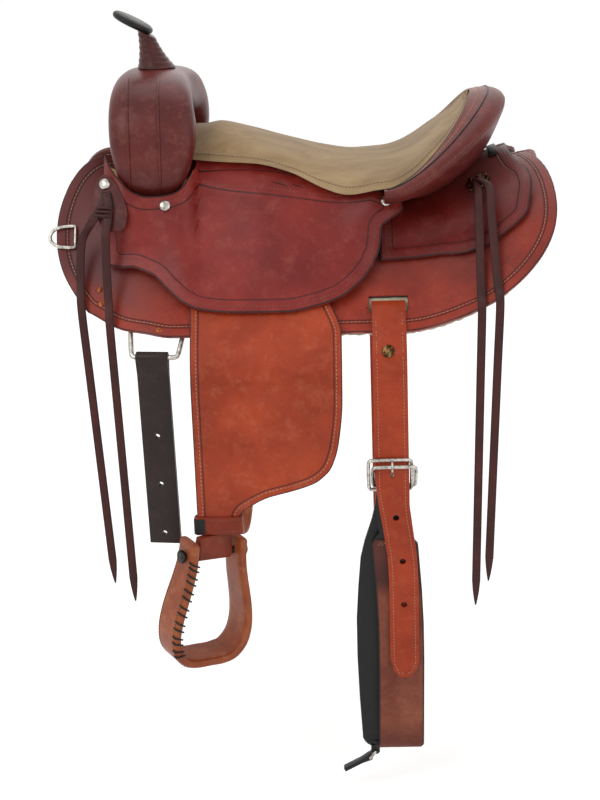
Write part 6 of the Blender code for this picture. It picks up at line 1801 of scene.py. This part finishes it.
def makeStrings():
    fit, thick = layer["fit"], string["tieThick"]
    for word, side in sides:
        here, along, down, out = frontRosetteFrame(side)
        face = here + out * (0.003 + 2 * fit + thick / 2 + 0.0018)
        top = face - along * 0.012 - down * 0.014
        face = face + out * 0.0010
        front = [top] + [face + along * a + down * d
                         for a, d in ((-0.0165, 0.002), (-0.0235, 0.014), (-0.0320, 0.026))]
        front += tailRoute(side, ((-0.277, 0.172, 0.048), (-0.281, 0.200, 0.038),
                                  (-0.282, 0.232, 0.030), (-0.281, 0.264, 0.026)),
                           0.385, 0.020, 0.006)
        rear = [top] + [face + along * a + down * d
                        for a, d in ((-0.0085, 0.006), (-0.0100, 0.026), (-0.0125, 0.046))]
        rear += tailRoute(side, ((-0.243, 0.212, 0.044), (-0.242, 0.238, 0.034),
                                 (-0.241, 0.266, 0.028)), 0.385, 0.010, 0.004)
        body = "front_string_set_" + word
        thong("frontStringForward_" + word, front, body, ["front_strings_" + word])
        thong("frontStringRearward_" + word, rear, body, ["front_strings_" + word])
        # a thong wound three times round both tails just below the rosette's slot
        for number in range(3):
            middle = face + along * (-0.0145 - 0.0010 * number)
            middle += down * (0.0075 + 0.0052 * number)
            loop = ringAround(middle, along * 0.0105 + down * 0.0012, out * 0.0030, 20)
            turn = wire("frontStringTurn", loop, string["turnRadius"], 8, True)
            addPiece("frontStringTurn%d_%s" % (number, word), turn, thongLeather, body)
        addDressed("frontRosetteLeather_" + word, "front_rosette_" + word, rosetteLeather,
                   "saddle", "jockey_leather", bevel=0.0007)

        here, along, down, out = rearRosetteFrame(side)
        top = here + out * (0.005 + fit + thick / 2 + 0.004) + down * 0.004
        stations = ((0.105, 0.053), (0.135, 0.045), (0.170, 0.036), (0.205, 0.030),
                    (0.235, 0.027), (0.258, 0.026))
        front = [top] + tailRoute(side, [(0.241 - 0.015 * (s - 0.105), s, h)
                                         for s, h in stations], 0.400, -0.010, 0.006)
        rear = [top] + tailRoute(side, [(0.2545 + 0.046 * (s - 0.105), s, h)
                                        for s, h in stations], 0.375, -0.016, 0.006)
        body = "rear_string_set_" + word
        thong("rearStringForward_" + word, front, body, ["rear_strings_" + word])
        thong("rearStringRearward_" + word, rear, body, ["rear_strings_" + word])
        addDressed("rearRosetteBronze_" + word, "rear_rosette_" + word, agedBronze, "saddle",
                   "antique_bronze", bevel=0.0011, segments=3)
        # the string's knot on the rosette
        for number, (size, rise, tilt) in enumerate(((0.0085, 0.0060, 0.4), (0.0070, 0.0072, 2.0),
                                                     (0.0050, 0.0088, 1.2))):
            loop = []
            for k in range(20):
                a = 2 * math.pi * k / 20
                x, y = size * math.cos(a), size * 0.62 * math.sin(a)
                loop.append(here + out * (rise + 0.0010 * math.sin(2 * a)) - down * 0.001
                            + along * (x * math.cos(tilt) - y * math.sin(tilt))
                            + down * (x * math.sin(tilt) + y * math.cos(tilt)))
            knot = wire("rearRosetteKnot", loop, string["knotRadius"], 8, True)
            addPiece("rearRosetteKnot%d_%s" % (number, word), knot,
                     thongLeather if number else agedBronze, "saddle")


makeStrings()
print("rosettes and strings tied")


# back billets, stitched round

billet = {"x": 0.121, "wide": 0.044, "tail": 0.039, "thick": 0.005, "long": 0.530,
          "buckleDrop": 0.173, "drift": 0.0125, "stitchIn": 0.0052, "knotX": 0.119,
          "knotStation": 7, "knotRadius": 0.0085, "knotHigh": 0.0030}


def billetMiddle():
    path = []
    middle = layer["skirtOut"] + layer["fit"] + billet["thick"] / 2
    slot, inside, depth = skirt["slotDown"], layer["skirtIn"], skirt["depth"]
    for s, h in ((slot - 0.002, inside + 0.0024), (slot + 0.003, inside + 0.0046),
                 (slot + 0.009, middle + 0.0002), (slot + 0.017, middle + 0.0008),
                 (depth - 0.008, middle + 0.0008), (depth + 0.006, middle + 0.0004)):
        p = backPoint(billet["x"], s, h, off)
        path.append((p.y, p.z))
    angle = math.radians(back["side"])
    while angle < math.radians(89):
        angle = min(angle + math.radians(8), math.pi / 2)
        y, z = path[-1]
        path.append((y + math.cos(angle) * 0.011, z - math.sin(angle) * 0.011))
    return path


def makeBillets():
    path = billetMiddle()
    plumb = path[-1]
    travelled = sum(math.dist(a, b) for a, b in zip(path, path[1:]))
    left = billet["long"] - travelled
    line = path + [(plumb[0], plumb[1] - left * k / 60) for k in range(1, 61)]

    def turned(i):
        (y0, z0), (y1, z1) = line[i - 1], line[min(i + 1, len(line) - 1)]
        step = Vector((0, y1 - y0, z1 - z0)).normalized()
        return Vector((0, -step.z, step.y))

    # the near billet's tail, below the buckle, is narrower and hangs a little aft
    for word, side in sides:
        tail = 1.0 if side == near else 0.0
        body = "billet_" + word
        addDressed("backBilletStrap_" + word, "back_billet_" + word, strapLeather, body,
                   "fender_leather")
        row = {-1: [], 1: []}
        for i in range(3, len(line)):
            normal = turned(i)
            y, z = line[i]
            below = plumb[1] - z - billet["buckleDrop"] + 0.028
            half = billet["wide"] / 2
            half -= tail * (billet["wide"] - billet["tail"]) / 2 * smoothStep(below / 0.05)
            tip = max(z - line[-1][1], 0.0)
            half *= 1.0 if tip > 0.027 else 0.36 + 0.64 * min(1, tip / 0.022) ** 0.6
            for c in (-1, 1):
                x = billet["x"] + tail * billet["drift"] * smoothStep(below / 0.13)
                x += c * max(half - billet["stitchIn"], 0.0)
                point = Vector((x, y, z)) + normal * (billet["thick"] / 2 - 0.0001)
                if tip > 0.006:
                    row[c].append((Vector((point.x, side * point.y, point.z)),
                                   Vector((0, side * normal.y, normal.z))))
        stitchRow("backBilletStitching_" + word, row[-1] + row[1][::-1], paleThread, body,
                  spacing=0.0046, length=0.0032, thick=0.0011)
        # the round knot that closes the billet's safe
        i = billet["knotStation"]
        (y, z), normal = line[i], turned(i - 1)
        point = Vector((billet["knotX"], side * (y + normal.y * billet["thick"] / 2),
                        z + normal.z * billet["thick"] / 2))
        knot = dome(point, Vector((0, side * normal.y, normal.z)), billet["knotRadius"],
                    billet["knotHigh"])
        addPiece("billetKnot_" + word, knot, agedBronze, body)


makeBillets()


# flank cinch

cinch = {"over": 0.068, "wide": 0.062, "chape": 0.031, "thick": 0.008, "half": 0.392,
         "spread": 0.0150, "eye": 0.0064, "buckleUp": 0.062, "bar": 0.046, "foot": 0.024,
         "nearRun": ((0.0, -0.0054), (0.12, -0.0054), (0.19, 0.0015), (0.55, 0.0080),
                     (1.0, 0.0055)),
         "farEnd": -0.0135, "overlay": 0.0014, "stitchIn": 0.0052}


# the cinch's worn outer leather; the strap itself is the solid's own shape
def makeCinch():
    plumbY, plumbZ = billetMiddle()[-1]
    lowBarZ = plumbZ - billet["buckleDrop"] + cinch["buckleUp"] - cinch["bar"]
    lowBarY = -(plumbY - billet["thick"] / 2 - layer["play"] - cinch["eye"])
    bottom = lowBarZ - cinch["half"]
    turn = cinch["spread"] / 2
    straight = (lowBarZ - cinch["over"]) - (bottom + cinch["foot"])
    length = straight + (turn + cinch["thick"] / 2) * math.pi / 2

    def place(a, b, h):
        t = a * length
        reach = cinch["thick"] / 2 + 0.0001 + h
        if t < straight:
            y, z = lowBarY - reach, lowBarZ - cinch["over"] - t
            over = 0.0
        else:
            angle = (t - straight) / (turn + cinch["thick"] / 2)
            y = lowBarY + turn - (turn + reach) * math.cos(angle)
            z = bottom + cinch["foot"] - (turn + reach) * math.sin(angle)
            over = smoothStep(((15 + 8 * angle / math.pi) / 38 - 0.42) / 0.16)
        drop = (lowBarZ - z) / cinch["half"]
        nearRun = through(cinch["nearRun"], drop)
        shift = nearRun + (cinch["farEnd"] - nearRun) * over
        wide = cinch["chape"] - 0.0016
        wide += (cinch["wide"] - cinch["chape"]) * smoothStep((drop - 0.155) / 0.035)
        return Vector((billet["x"] + shift + (b - 0.5) * wide, y, z))

    mesh, outline = leatherSheet("cinchOverlay", place, lipSteps(length, 0.005),
                                 lipSteps(0.06, 0.004), cinch["overlay"])
    paint(mesh, lambda p: 0.85 * (1 - smoothStep((lowBarZ - 0.125 - p.z) / 0.03))
          + 0.3 * noise.noise(p * 18) + 0.3 * smoothStep((bottom + 0.07 - p.z) / 0.05))
    addPiece("cinchStrapFace", mesh, cinchLeather, "cinch")
    stitchRow("cinchStitching", insideLine(outline, mesh, cinch["stitchIn"]), paleThread,
              "cinch", spacing=0.005, thick=0.0011)
    addDressed("cinchStrapBody", "flank_cinch", blackLeather, "cinch", "black_leather")


makeCinch()
print("billets and flank cinch hung")


# light and floor

studio = {"world": 0.60, "floor": -0.79, "floorHalf": 30, "floorGlow": 0.50, "aim": (0, 0, -0.2),
          "lamps": (("keyLamp", (-2.2, -2.6, 2.4), 2.0, 34.0),
                    ("fillLamp", (2.6, -2.2, 1.0), 2.4, 13.0),
                    ("topLamp", (0.2, 0.8, 3.0), 2.2, 15.0),
                    ("backLamp", (0.5, 3.0, 1.6), 2.4, 12.0))}


# 1 where a ray from the camera, a shine or a clear body meets it, 0 for the light that it sheds
def seenBy(tree):
    rays = addNode(tree, "LightPath").outputs
    shown = rays["Is Camera Ray"]
    for ray in ("Is Glossy Ray", "Is Transmission Ray"):
        shown = addNode(tree, "Math", {"operation": "MAXIMUM"}, {0: shown, 1: rays[ray]}).outputs[0]
    return shown


def makeStudio():
    world = bpy.data.worlds.new("studioWorld")
    bpy.context.scene.world = world
    world.use_nodes = True
    tree = world.node_tree
    glow = tree.nodes["Background"]
    level = addNode(tree, "MapRange", {"To Min": studio["world"], "To Max": 1.0},
                    {"Value": seenBy(tree)})
    glow.inputs["Color"].default_value = toLinear("#ffffff")
    tree.links.new(level.outputs["Result"], glow.inputs["Strength"])

    # painted plaster cyclorama: matt white, with no texture that shows at this distance
    plaster, tree, shader, _ = newMaterial("whitePaintedFloor")
    shader.inputs["Base Color"].default_value = toLinear("#e6e6e6")
    shader.inputs["Roughness"].default_value = 0.9
    shader.inputs["Emission Color"].default_value = toLinear("#ffffff")
    glow = addNode(tree, "Math", {"operation": "MULTIPLY", 1: studio["floorGlow"]},
                   {0: seenBy(tree)})
    tree.links.new(glow.outputs[0], shader.inputs["Emission Strength"])
    corners = [Vector((x * studio["floorHalf"], y * studio["floorHalf"], studio["floor"]))
               for x, y in ((-1, -1), (1, -1), (1, 1), (-1, 1))]
    mesh = meshOf("studioFloor", corners, [(0, 1, 2, 3)])
    mesh.materials.append(plaster)
    linked("studioFloor", mesh)

    for name, place, size, power in studio["lamps"]:
        data = bpy.data.lights.new(name, "AREA")
        data.size, data.energy = size, power
        lamp = linked(name, data)
        lamp.location = place
        aim = Vector(studio["aim"]) - Vector(place)
        lamp.rotation_euler = aim.to_track_quat("-Z", "Y").to_euler()


makeStudio()
bpy.context.scene.view_settings.view_transform = "Standard"
print("studio lit")
